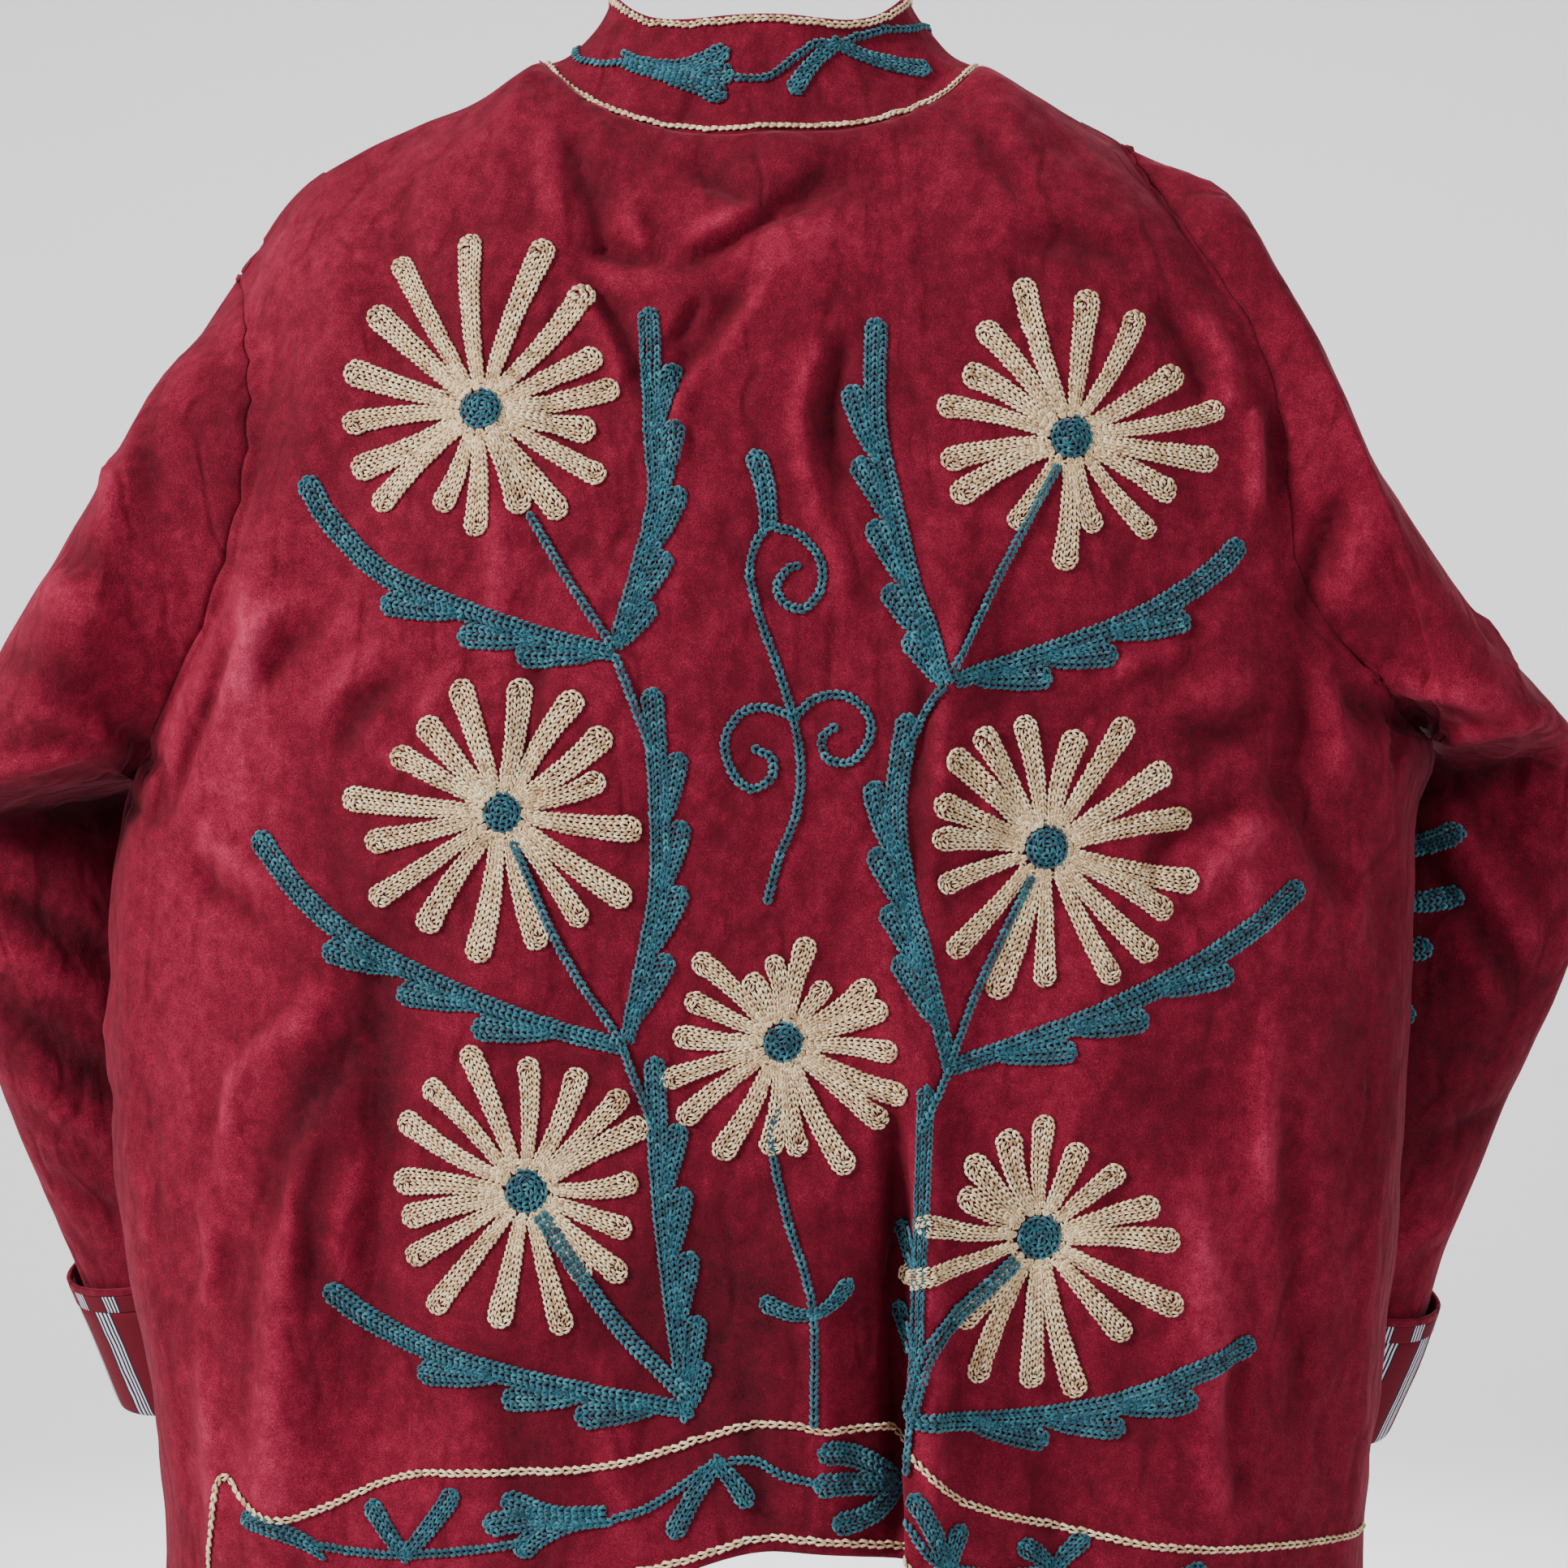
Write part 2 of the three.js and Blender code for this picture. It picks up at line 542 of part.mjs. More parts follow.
const half = halfColumns();
const wholeWidth = [...half.slice(1).reverse(), ...half.map((u) => -u)];
const FRONT_MIDDLE = 1e-9;      // keeps each front's middle column on its own side
const leftHalf = [FRONT_MIDDLE, ...half.slice(1)];
const backGrid = panelGrid(BACK, wholeWidth);
const frontLeftGrid = panelGrid(FRONT, leftHalf);
const rightHalf = leftHalf.map((u) => -u).reverse();
const frontRightGrid = panelGrid(FRONT, rightHalf);

const firstEdge = (grid) => grid.map((row) => row[0]);
const lastEdge = (grid) => grid.map((row) => row[row.length - 1]);
const leftArmhole = armholeRing(firstEdge(backGrid), lastEdge(frontLeftGrid));
const rightArmhole = armholeRing(lastEdge(backGrid), firstEdge(frontRightGrid));

const backNeck = backGrid[ROWS].slice(OUTER_COLUMNS, OUTER_COLUMNS + 2 * NECK_COLUMNS + 1);
const leftNeck = frontLeftGrid[ROWS].slice(0, NECK_COLUMNS);
const rightNeck = frontRightGrid[ROWS].slice(-NECK_COLUMNS);
const neckline = [...leftNeck, ...backNeck, ...rightNeck];

const pieces = [
  {
    name: 'back',
    look: VELVET,
    grid: backGrid,
    seams: { firstColumn: true, lastColumn: true, lastRow: true },
    panel: { face: BACK, places: wholeWidth },
  },
  {
    name: 'front_left',
    look: VELVET,
    grid: frontLeftGrid,
    seams: { lastColumn: true, lastRow: true },
    panel: { face: FRONT, places: leftHalf },
  },
  {
    name: 'front_right',
    look: VELVET,
    grid: frontRightGrid,
    seams: { firstColumn: true, lastRow: true },
    panel: { face: FRONT, places: rightHalf },
  },
  { name: 'collar', look: VELVET, grid: collarGrid(neckline), seams: { firstRow: true } },
];
for (const [side, armhole, turn] of [['left', leftArmhole, 1], ['right', rightArmhole, -1]]) {
  const grid = sleeveGrid(side, armhole);
  pieces.push({ name: `sleeve_${side}`, look: VELVET, grid, closed: true, turn, seams: { firstRow: true } });
  for (const [name, look, section] of [
    ['cuff', FACING, CUFF],
    ['cuff_band', FACING, CUFF_BAND],
    ['cuff_edge', VELVET, CUFF_EDGE],
  ]) {
    const turnedBack = cuffGrid(grid, section);
    pieces.push({ name: `${name}_${side}`, look, grid: turnedBack, closed: true, turn: -turn });
  }
}

const jacket = new THREE.Group();
for (const { grid, closed = false, turn = 1 } of pieces) addNormals(grid, closed, turn);
for (const piece of pieces) {
  const mesh = new THREE.Mesh(wallGeometry(piece), new THREE.MeshStandardMaterial(piece.look));
  mesh.name = piece.name;
  jacket.add(mesh);
}

export default jacket;
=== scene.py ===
"""Looks of the suzani jacket: crimson velvet sewn from panels, striped facings turned back at the
wrists, and flowers, leaf sprays and borders worked over it in thick chain stitch. Metres, +Z up,
+X the wearer's left and -Y the front. The tables are in millimetres."""
import math

import bmesh
import bpy
import numpy as np
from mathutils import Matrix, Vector, kdtree
from mathutils.bvhtree import BVHTree


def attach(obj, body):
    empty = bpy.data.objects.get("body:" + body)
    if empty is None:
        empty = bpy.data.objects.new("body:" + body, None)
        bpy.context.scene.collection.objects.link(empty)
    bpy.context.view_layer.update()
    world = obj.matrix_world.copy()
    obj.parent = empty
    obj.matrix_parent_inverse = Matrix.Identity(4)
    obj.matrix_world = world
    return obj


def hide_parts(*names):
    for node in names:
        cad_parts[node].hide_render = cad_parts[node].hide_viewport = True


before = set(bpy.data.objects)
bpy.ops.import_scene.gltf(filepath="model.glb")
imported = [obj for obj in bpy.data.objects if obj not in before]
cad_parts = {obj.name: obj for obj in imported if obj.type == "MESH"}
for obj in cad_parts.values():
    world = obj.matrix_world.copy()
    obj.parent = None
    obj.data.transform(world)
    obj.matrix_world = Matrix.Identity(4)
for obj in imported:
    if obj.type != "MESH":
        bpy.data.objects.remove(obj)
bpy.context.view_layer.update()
MM = 0.001

# ---------------------------------------------------------------------------------------------
# Velvet panels: back, two fronts, two sleeves and the collar, cut from cotton velvet and sewn
# edge to edge. They are smoothed as one garment, so that its folds run on over the seams, and
# are then parted along the seams into walls whose edges roll in to the stitching.
WALL = 2 * MM
MERGE = 0.012 * MM              # joins the loose triangles of a CAD node
WALL_ERROR = 0.005 * MM
WELD = 0.6 * MM                 # joins the panels over their seam gap
SMOOTH_ROUNDS = 4               # of moving a sheet's corners before it is subdivided
SMOOTH_SHARE = 0.8              # of the way still missing that a round makes up
TINY = 1e-12                    # keeps a division by a length of nothing from failing
SEAM_ROLL = 1.7 * MM            # width of the rolled edge beside a seam
SEAM_DIP = 1.0 * MM
PANELS = ["back", "front_left", "front_right", "sleeve_left", "sleeve_right", "collar"]
FINE_PANELS = ["back", "sleeve_left", "sleeve_right", "collar"]   # with the tightest creases


def deselect():
    """Leaves nothing selected, the CAD nodes included."""
    for obj in bpy.context.selected_objects:
        obj.select_set(False)


def pick(*objects):
    """Selects these objects alone and makes the first one active."""
    deselect()
    for obj in objects:
        obj.select_set(True)
    bpy.context.view_layer.objects.active = objects[0]


def apply_modifier(obj, kind, **settings):
    """Puts a modifier on an object and applies it."""
    modifier = obj.modifiers.new(kind.title(), kind)
    for name, value in settings.items():
        setattr(modifier, name, value)
    pick(obj)
    bpy.ops.object.modifier_apply(modifier=modifier.name)


def shade_smooth(obj):
    """Shades all of an object's faces smooth."""
    pick(obj)
    bpy.ops.object.shade_smooth()


def new_object(name, mesh):
    """A new object that holds a mesh, linked into the scene."""
    obj = bpy.data.objects.new(name, mesh)
    bpy.context.scene.collection.objects.link(obj)
    return obj


def outer_side(node, number):
    """The outside of a CAD wall as an open sheet of quads, marked with its panel's number."""
    form = bmesh.new()
    form.from_mesh(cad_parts[node].data)
    bmesh.ops.remove_doubles(form, verts=form.verts, dist=MERGE)
    rims = [face for face in form.faces
            if any(abs(edge.calc_length() - WALL) < WALL_ERROR for edge in face.edges)]
    bmesh.ops.delete(form, geom=rims, context="FACES")
    sides = []
    unseen = set(form.faces)
    while unseen:
        side = [unseen.pop()]
        for face in side:
            near = {f for edge in face.edges for f in edge.link_faces} & unseen
            unseen -= near
            side.extend(near)
        sides.append(side)
    middle = sum((vert.co for vert in form.verts), Vector()) / len(form.verts)

    def faced_out(side):
        return sum((face.calc_center_median() - middle).dot(face.normal) * face.calc_area()
                   for face in side)

    bmesh.ops.delete(form, geom=min(sides, key=faced_out), context="FACES")
    bmesh.ops.join_triangles(
        form, faces=form.faces, angle_face_threshold=math.pi, angle_shape_threshold=math.pi
    )
    mark = form.faces.layers.int.new("panel")
    for face in form.faces:
        face[mark] = number
    mesh = bpy.data.meshes.new(node)
    form.to_mesh(mesh)
    form.free()
    return new_object(f"{node}_side", mesh)


def read_vectors(values, name, count):
    """One vector for each of count items, as rows of an array."""
    rows = np.zeros(count * 3)
    values.foreach_get(name, rows)
    return rows.reshape(-1, 3)


def unit(rows):
    """Rows of vectors at a length of one, or of nothing where they have none."""
    return rows / (np.linalg.norm(rows, axis=1)[:, None] + TINY)


def smooth_through(obj):
    """Subdivides a sheet smoothly, first moving its corners so that it still runs through them."""
    modifier = obj.modifiers.new("Smooth", "SUBSURF")
    modifier.levels = modifier.render_levels = 2
    count = len(obj.data.vertices)
    wanted = read_vectors(obj.data.vertices, "co", count)
    corners = wanted.copy()
    for _ in range(SMOOTH_ROUNDS):
        view = obj.evaluated_get(bpy.context.evaluated_depsgraph_get())
        smooth = read_vectors(view.data.vertices, "co", len(view.data.vertices))
        corners += (wanted - smooth[:count]) * SMOOTH_SHARE
        obj.data.vertices.foreach_set("co", corners.ravel())
        obj.data.update()
    pick(obj)
    bpy.ops.object.modifier_apply(modifier=modifier.name)


def weld_garment():
    """All the panels as one smooth sheet, with the turn up into the collar kept sharp."""
    sides = [outer_side(node, number) for number, node in enumerate(PANELS)]
    pick(*sides)
    bpy.ops.object.join()
    garment = sides[0]
    form = bmesh.new()
    form.from_mesh(garment.data)
    bmesh.ops.remove_doubles(form, verts=form.verts, dist=WELD)
    mark = form.faces.layers.int["panel"]
    sharp = form.edges.layers.float.new("crease_edge")
    collar = PANELS.index("collar")
    for edge in form.edges:
        panels = {face[mark] for face in edge.link_faces}
        if collar in panels and len(panels) > 1:
            edge[sharp] = 1.0
    form.to_mesh(garment.data)
    form.free()
    smooth_through(garment)
    return garment


garment = weld_garment()
outward = garment.data.attributes.new("outward", "FLOAT_VECTOR", "POINT")
outward.data.foreach_set("vector", read_vectors(garment.data.vertices, "normal",
                                                len(garment.data.vertices)).ravel())
garment_hull = BVHTree.FromObject(garment, bpy.context.evaluated_depsgraph_get())

# Creases, as seen from behind and from in front: each is the height of a ridge, or of a trough
# where it is below zero, its breadth, and the line that it follows in x and z.
CREASES = {
    "back": [
        # height, breadth, points
        (-2.6, 7, [(76, -83), (58, -92), (37, -95)]),
        (1.6, 8, [(78, -96), (52, -103), (30, -103)]),
        (-3.0, 6, [(42, -100), (18, -88), (-10, -70), (-30, -58)]),
        (1.8, 7, [(36, -88), (10, -76), (-12, -62)]),
        (-2.0, 5, [(24, -106), (30, -122), (38, -136)]),
        (-2.2, 6, [(0, -98), (14, -116), (30, -140), (42, -160)]),
        (1.4, 6, [(-10, -100), (4, -120), (20, -146)]),
        (-2.4, 9, [(38, -44), (14, -60), (-8, -69), (-30, -58), (-54, -42)]),
        (-1.6, 6, [(86, -22), (80, -48), (70, -76), (74, -100)]),
        (1.4, 8, [(96, -26), (92, -54), (84, -84)]),
        (-1.6, 7, [(-96, -22), (-108, -50), (-122, -72)]),
        (-1.8, 10, [(-104, -88), (-140, -84), (-172, -96)]),
        (-1.5, 8, [(-112, -130), (-118, -108), (-110, -90)]),
        (-1.2, 7, [(150, -40), (160, -72), (150, -100)]),
        (1.6, 9, [(120, -150), (112, -230), (118, -280)]),
        (-1.2, 6, [(20, -200), (8, -226), (-14, -252)]),
        (1.2, 6, [(-20, -196), (-34, -226), (-40, -262)]),
        (-1.4, 7, [(84, -254), (100, -290), (96, -330)]),
        (2.0, 9, [(228, -226), (222, -262), (232, -300)]),
        (-2.6, 6, [(232, -250), (243, -283), (254, -308), (263, -331), (272, -350)]),
        (-2.2, 5, [(276, -304), (268, -324), (276, -344)]),
        (-1.8, 9, [(168, -372), (166, -440), (160, -510)]),
        (2.2, 12, [(196, -452), (206, -520), (214, -600), (216, -690)]),
        (-1.8, 9, [(238, -440), (240, -500), (232, -560)]),
        (1.4, 9, [(250, -560), (244, -620), (240, -690)]),
        (-2.0, 14, [(118, -548), (104, -610), (94, -690)]),
        (1.4, 12, [(68, -560), (60, -620), (56, -680)]),
        (-1.4, 9, [(10, -560), (2, -610), (-4, -660)]),
        (1.6, 8, [(-22, -520), (-28, -590), (-30, -650)]),
        (-4.0, 6, [(-56, -440), (-60, -500), (-61, -580), (-61, -670)]),
        (2.6, 8, [(-70, -430), (-72, -500), (-73, -580), (-74, -680)]),
        (-1.8, 8, [(-78, -238), (-70, -300), (-66, -360), (-60, -430)]),
        (1.6, 7, [(-88, -232), (-80, -296), (-76, -350)]),
        (-1.8, 7, [(-226, -150), (-228, -182), (-226, -212)]),
        (1.8, 6, [(-217, -148), (-219, -184), (-217, -212)]),
        (-2.4, 9, [(-236, -250), (-238, -286), (-230, -322), (-236, -350)]),
        (1.8, 9, [(-248, -262), (-256, -300), (-262, -330)]),
        (-2.2, 8, [(-233, -310), (-247, -350), (-275, -382)]),
        (1.4, 8, [(-212, -330), (-216, -372), (-236, -402)]),
        (-1.4, 7, [(-180, -322), (-202, -304), (-224, -300)]),
        (-1.2, 7, [(-176, -350), (-200, -336), (-220, -330)]),
        (1.2, 8, [(-262, -342), (-268, -372), (-262, -400)]),
        (-1.6, 12, [(-150, -450), (-160, -540), (-168, -640)]),
        (2.0, 14, [(-188, -470), (-196, -560), (-206, -680)]),
        (-1.6, 10, [(-232, -440), (-236, -540), (-242, -640)]),
        (-1.2, 9, [(-120, -600), (-128, -660), (-132, -720)]),
        (3.0, 10, [(176, -398), (206, -432), (232, -462), (241, -520), (243, -580)]),
        (-2.6, 12, [(160, -420), (188, -452), (210, -486), (216, -540)]),
        (1.8, 6, [(252, -336), (230, -360), (204, -372)]),
        (-2.0, 6, [(258, -352), (236, -376), (210, -388)]),
        (1.8, 6, [(176, -300), (150, -318), (128, -322)]),
        (-2.0, 7, [(190, -250), (206, -262), (222, -286)]),
        (1.6, 6, [(60, -60), (52, -84), (44, -104)]),
        (-2.0, 6, [(66, -190), (80, -176), (98, -150)]),
        (1.6, 6, [(-92, -290), (-100, -320), (-92, -356)]),
        (-1.8, 7, [(-190, -330), (-176, -350), (-168, -380)]),
        (1.8, 8, [(-226, -420), (-222, -470), (-228, -520)]),
        (-1.8, 8, [(-212, -560), (-206, -610), (-214, -650)]),
        (2.0, 6, [(86, -100), (66, -128), (56, -160)]),
        (-2.2, 6, [(78, -102), (58, -128), (40, -170)]),
        (1.8, 6, [(20, -132), (34, -160), (36, -196)]),
        (2.0, 7, [(-30, -120), (-18, -170), (-30, -214)]),
        (-2.0, 7, [(-40, -120), (-30, -164), (-42, -206)]),
        (1.4, 6, [(190, -236), (214, -250), (232, -276), (238, -300)]),
        (2.0, 6, [(160, -262), (182, -278), (200, -304)]),
        (-2.0, 6, [(150, -272), (172, -290), (188, -316)]),
        (1.8, 6, [(124, -266), (140, -284), (150, -300)]),
        (2.0, 7, [(-190, -110), (-206, -136), (-208, -168)]),
        (-2.0, 7, [(-170, -104), (-188, -130), (-196, -160)]),
        (2.0, 6, [(-170, -290), (-196, -284), (-222, -270)]),
        (-2.2, 6, [(-176, -304), (-204, -298), (-232, -286)]),
        (1.8, 6, [(-150, -282), (-166, -268), (-190, -262)]),
        (1.8, 7, [(-190, -380), (-206, -352), (-232, -338)]),
        (2.2, 8, [(172, -480), (182, -520), (180, -552)]),
        (-2.2, 8, [(184, -470), (196, -508), (196, -560)]),
        # the lower edges of the upper sleeves, which hang over the elbows
        (2.4, 8, [(366, -320), (342, -318), (318, -312), (294, -305)]),
        (-1.8, 9, [(368, -344), (342, -342), (316, -336), (294, -330)]),
        (2.4, 8, [(-298, -304), (-324, -300), (-348, -294), (-368, -287)]),
        (-1.8, 9, [(-296, -328), (-324, -324), (-350, -318), (-370, -310)]),
        # upper sleeves
        (-1.8, 9, [(348, -190), (318, -214), (286, -232)]),
        (1.6, 9, [(352, -214), (316, -238), (284, -254)]),
        (-1.6, 8, [(362, -262), (326, -268), (292, -286)]),
        (1.4, 7, [(330, -288), (302, -296), (280, -312)]),
        (-2.2, 6, [(298, -292), (284, -306), (272, -322)]),
        (-1.6, 6, [(296, -322), (288, -334), (278, -336)]),
        (1.8, 8, [(300, -120), (296, -170), (282, -206)]),
        (-1.4, 7, [(268, -130), (274, -168), (264, -206)]),
        (-2.8, 7, [(-262, -190), (-252, -210), (-243, -236), (-240, -262)]),
        (1.8, 9, [(-276, -196), (-266, -222), (-256, -250)]),
        (3.0, 9, [(-246, -268), (-280, -276), (-316, -284), (-346, -300)]),
        (-2.2, 9, [(-252, -286), (-288, -292), (-322, -304)]),
        (-2.2, 5, [(-296, -284), (-290, -300), (-284, -318)]),
        (1.6, 7, [(-320, -240), (-336, -262), (-342, -284)]),
        (-1.6, 6, [(-330, -222), (-322, -244), (-330, -262)]),
        # forearms
        (-2.6, 8, [(366, -372), (336, -388), (312, -404), (296, -420)]),
        (2.2, 9, [(372, -392), (342, -410), (316, -424), (290, -446)]),
        (-2.2, 8, [(368, -420), (336, -446), (310, -464), (288, -476)]),
        (1.6, 9, [(356, -462), (326, -484), (300, -500)]),
        (-1.6, 8, [(350, -508), (324, -524), (296, -538)]),
        (2.4, 8, [(-312, -312), (-330, -350), (-352, -384), (-376, -416)]),
        (-2.6, 7, [(-302, -330), (-320, -370), (-342, -402), (-366, -438)]),
        (2.0, 8, [(-318, -372), (-336, -404), (-354, -432)]),
        (-1.8, 8, [(-372, -470), (-340, -486), (-300, -498)]),
        (1.6, 9, [(-352, -530), (-322, -540), (-290, -556)]),
    ],
    "front": [
        (-2.4, 9, [(70, -120), (62, -220), (58, -330)]),
        (2.2, 12, [(60, -380), (54, -480), (52, -700)]),
        (-2.4, 10, [(116, -300), (122, -450), (126, -700)]),
        (2.0, 11, [(160, -420), (166, -560), (170, -700)]),
        (-2.0, 9, [(206, -420), (210, -560), (214, -700)]),
        (-2.4, 8, [(228, -200), (214, -250), (226, -310), (252, -350)]),
        (-1.8, 7, [(110, -60), (130, -120), (170, -180)]),
        (1.8, 9, [(150, -110), (180, -170), (208, -240)]),
        (-2.2, 9, [(-66, -130), (-60, -240), (-58, -350)]),
        (2.2, 12, [(-66, -400), (-62, -520), (-60, -700)]),
        (-2.4, 10, [(-110, -320), (-112, -470), (-106, -700)]),
        (2.0, 11, [(-158, -440), (-164, -580), (-170, -700)]),
        (-2.0, 9, [(-204, -430), (-212, -560), (-216, -700)]),
        (-2.4, 8, [(-224, -190), (-212, -240), (-228, -300), (-256, -345)]),
        (1.8, 9, [(-146, -100), (-176, -160), (-206, -232)]),
        (-2.6, 8, [(372, -330), (344, -338), (318, -336)]),
        (2.2, 8, [(380, -352), (350, -362), (320, -362)]),
        (-2.4, 8, [(376, -384), (344, -392), (308, -398)]),
        (1.8, 9, [(360, -430), (330, -446), (290, -452)]),
        (-2.6, 8, [(-374, -320), (-346, -330), (-320, -328)]),
        (2.2, 8, [(-380, -346), (-350, -356), (-318, -354)]),
        (-2.4, 8, [(-376, -380), (-342, -390), (-300, -392)]),
        (1.8, 9, [(-362, -430), (-330, -446), (-288, -452)]),
        (-1.6, 8, [(340, -520), (310, -536), (270, -540)]),
        (-1.6, 8, [(-336, -540), (-306, -552), (-262, -556)]),
    ],
}
CREASE_DEPTH = 2.1              # times the heights above
CREASE_STEP = 3 * MM
SHADE_FULL_LIFT = 3.5 * MM             # the height or depth of a crease at which its painted light or painted shade is full
PAINTED_SHADES = [                  # broad patches of painted shade and painted light: darker forearms, hollows under the elbows and lower middle, lighter flanks
    # middle, size, level
    ((330, -60, -400), (60, 90, 90), -0.8),
    ((-330, -60, -400), (60, 90, 90), -0.9),
    ((-308, -10, -318), (24, 40, 30), -1.3),
    ((300, -10, -336), (22, 50, 22), -1.1),
    ((330, 0, -334), (60, 60, 12), -1.1),
    ((-330, 0, -316), (50, 60, 10), -0.8),
    ((310, 20, -250), (40, 60, 50), 0.4),
    ((250, 40, -300), (34, 60, 80), 1.0),
    ((240, 60, -440), (36, 60, 110), 0.3),
    ((150, 90, -480), (50, 60, 80), -0.4),
    ((14, 100, -250), (40, 60, 60), -0.3),
    ((14, 100, -556), (46, 60, 54), -1.2),
    ((64, 100, -150), (50, 60, 40), -0.6),
    ((-60, 100, -150), (50, 60, 50), -0.3),
    ((-10, 100, -84), (40, 60, 18), 0.9),
    ((-215, 70, -250), (30, 60, 60), 0.2),
    ((-234, 80, -500), (36, 60, 90), 0.4),
]
CREASE_REACH = 2.4              # breadths over which a crease dies away
CREASE_FALL = 1.6               # how steeply its height falls off over them
INSIDE_SPREAD = (0.8, 1.5)      # share of a ridge's and of a trough's breadth on the wall's inside
DEEPEST = 7 * MM                # the most that creases lift or sink the cloth where they meet
CREASE_ENDS = 0.3               # share of a crease's length over which each end fades
VIEW_FROM = 0.6                 # from the jacket's middle out to where a ray starts
VIEWS = {                       # the ray that finds the cloth at a drawn point
    "back": lambda across, up: (Vector((across, VIEW_FROM, up)), Vector((0, -1, 0))),
    "front": lambda across, up: (Vector((across, -VIEW_FROM, up)), Vector((0, 1, 0))),
}


def smooth_line(points, step):
    """Places a step apart along a smooth curve through points of any dimension."""
    knots = np.array(points, float)
    ends = np.vstack([2 * knots[0] - knots[1], knots, 2 * knots[-1] - knots[-2]])
    curve = []
    for a, b, c, d in zip(ends, ends[1:], ends[2:], ends[3:]):
        count = max(2, int(np.linalg.norm(c - b) / step * 2))
        for t in np.arange(count) / count:
            curve.append(0.5 * (2 * b + (c - a) * t + (2 * a - 5 * b + 4 * c - d) * t * t
                                + (3 * b - a - 3 * c + d) * t ** 3))
    curve.append(knots[-1])
    return even_line(np.array(curve), step)


def even_line(curve, step):
    """The same curve with its points evenly a step apart."""
    lengths = np.concatenate([[0], np.cumsum(np.linalg.norm(np.diff(curve, axis=0), axis=1))])
    count = max(2, int(round(lengths[-1] / step)) + 1)
    places = np.linspace(0, lengths[-1], count)
    return np.stack([np.interp(places, lengths, axis) for axis in curve.T], axis=1)


def crease_lines():
    """Each crease as a line on the garment with its height and breadth."""
    lines = []
    for side, rows in CREASES.items():
        for height, breadth, points in rows:
            drawn = smooth_line(np.array(points) * MM, CREASE_STEP)
            found = [garment_hull.ray_cast(*VIEWS[side](across, up))[0] for across, up in drawn]
            found = [place for place in found if place is not None]
            if len(found) > 2:
                lines.append((height * CREASE_DEPTH * MM, breadth * MM, found))
    return lines


def press_creases(obj, lines):
    """Moves an object's cloth, inside and outside alike, out to the ridges and in to the troughs."""
    count = len(obj.data.vertices)
    places = read_vectors(obj.data.vertices, "co", count)
    ways = read_vectors(obj.data.attributes["outward"].data, "vector", count)
    tree = kdtree.KDTree(count)
    for index, place in enumerate(places):
        tree.insert(place, index)
    tree.balance()
    inside = np.zeros(count, bool)
    for face in obj.data.polygons:
        if face.material_index == 1:
            inside[list(face.vertices)] = True
    lift = np.zeros(count)
    for height, breadth, line in lines:
        nearest = {}
        for i, place in enumerate(line):
            share = i / (len(line) - 1)
            fade = min(1, share / CREASE_ENDS, (1 - share) / CREASE_ENDS)
            for _, index, away in tree.find_range(place, CREASE_REACH * breadth):
                if index not in nearest or away < nearest[index][0]:
                    nearest[index] = (away, fade)
        if nearest:
            indices = np.array(list(nearest))
            away, fade = np.array(list(nearest.values())).T
            fade = fade * fade * (3 - 2 * fade)
            spread = breadth * np.where(inside[indices], INSIDE_SPREAD[height < 0], 1)
            lift[indices] += height * fade * np.exp(-((away / spread) ** 2) * CREASE_FALL)
    lift = np.clip(lift, -DEEPEST, DEEPEST)
    places += ways * lift[:, None]
    obj.data.vertices.foreach_set("co", places.ravel())
    obj.data.update()
    return lift


def paint_fold_shade(obj, lift):
    """Painted light on ridges, painted shade in troughs and the broad painted patches, as one
    attribute.
    """
    places = read_vectors(obj.data.vertices, "co", len(obj.data.vertices))
    painted_shade = np.tanh(lift / SHADE_FULL_LIFT)
    for middle, size, level in PAINTED_SHADES:
        away = (places - np.array(middle) * MM) / (np.array(size) * MM)
        painted_shade += level * np.exp(-(away ** 2).sum(axis=1))
    layer = obj.data.attributes.new("painted_shade", "FLOAT", "POINT")
    layer.data.foreach_set("value", painted_shade.astype(np.float32))


WAVES = 14                      # added up to one unevenness
WAVE_SHARES = (0.6, 1.5)        # how many of them go into its length
RUMPLES = [                     # height, length and seed of each unevenness
    (0.7 * MM, 70 * MM, 3),
    (0.22 * MM, 24 * MM, 8),
]


def rumple(places, height, length, seed):
    """A gentle unevenness of cloth: smooth waves of about a length in all directions."""
    random = np.random.default_rng(seed)
    waves = unit(random.normal(size=(WAVES, 3)))
    waves *= (2 * np.pi / length) * random.uniform(*WAVE_SHARES, WAVES)[:, None]
    turns = random.uniform(0, 2 * np.pi, WAVES)
    return height * np.sin(places @ waves.T + turns).sum(axis=1) / WAVES ** 0.5


def part_panel(name):
    """One panel's sheet, cut out of the garment, with its edges rolled in."""
    form = bmesh.new()
    form.from_mesh(garment.data)
    mark = form.faces.layers.int["panel"]
    others = [face for face in form.faces if face[mark] != PANELS.index(name)]
    bmesh.ops.delete(form, geom=others, context="FACES")
    bmesh.ops.inset_region(form, faces=form.faces, thickness=SEAM_ROLL, use_boundary=True)
    form.normal_update()
    way = form.verts.layers.float_vector["outward"]
    for vert in form.verts:
        if vert.is_boundary:
            vert.co -= vert[way] * SEAM_DIP
    mesh = bpy.data.meshes.new(f"{name}_velvet")
    form.to_mesh(mesh)
    form.free()
    return new_object(f"{name}_velvet", mesh)


def split_faces(obj, with_inside):
    """Halves the faces of a wall's outside, and where its creases are tight of its inside too."""
    form = bmesh.new()
    form.from_mesh(obj.data)
    split = [face for face in form.faces if with_inside or face.material_index == 0]
    edges = {edge for face in split for edge in face.edges}
    bmesh.ops.subdivide_edges(form, edges=list(edges), cuts=1, use_grid_fill=True)
    form.to_mesh(obj.data)
    form.free()


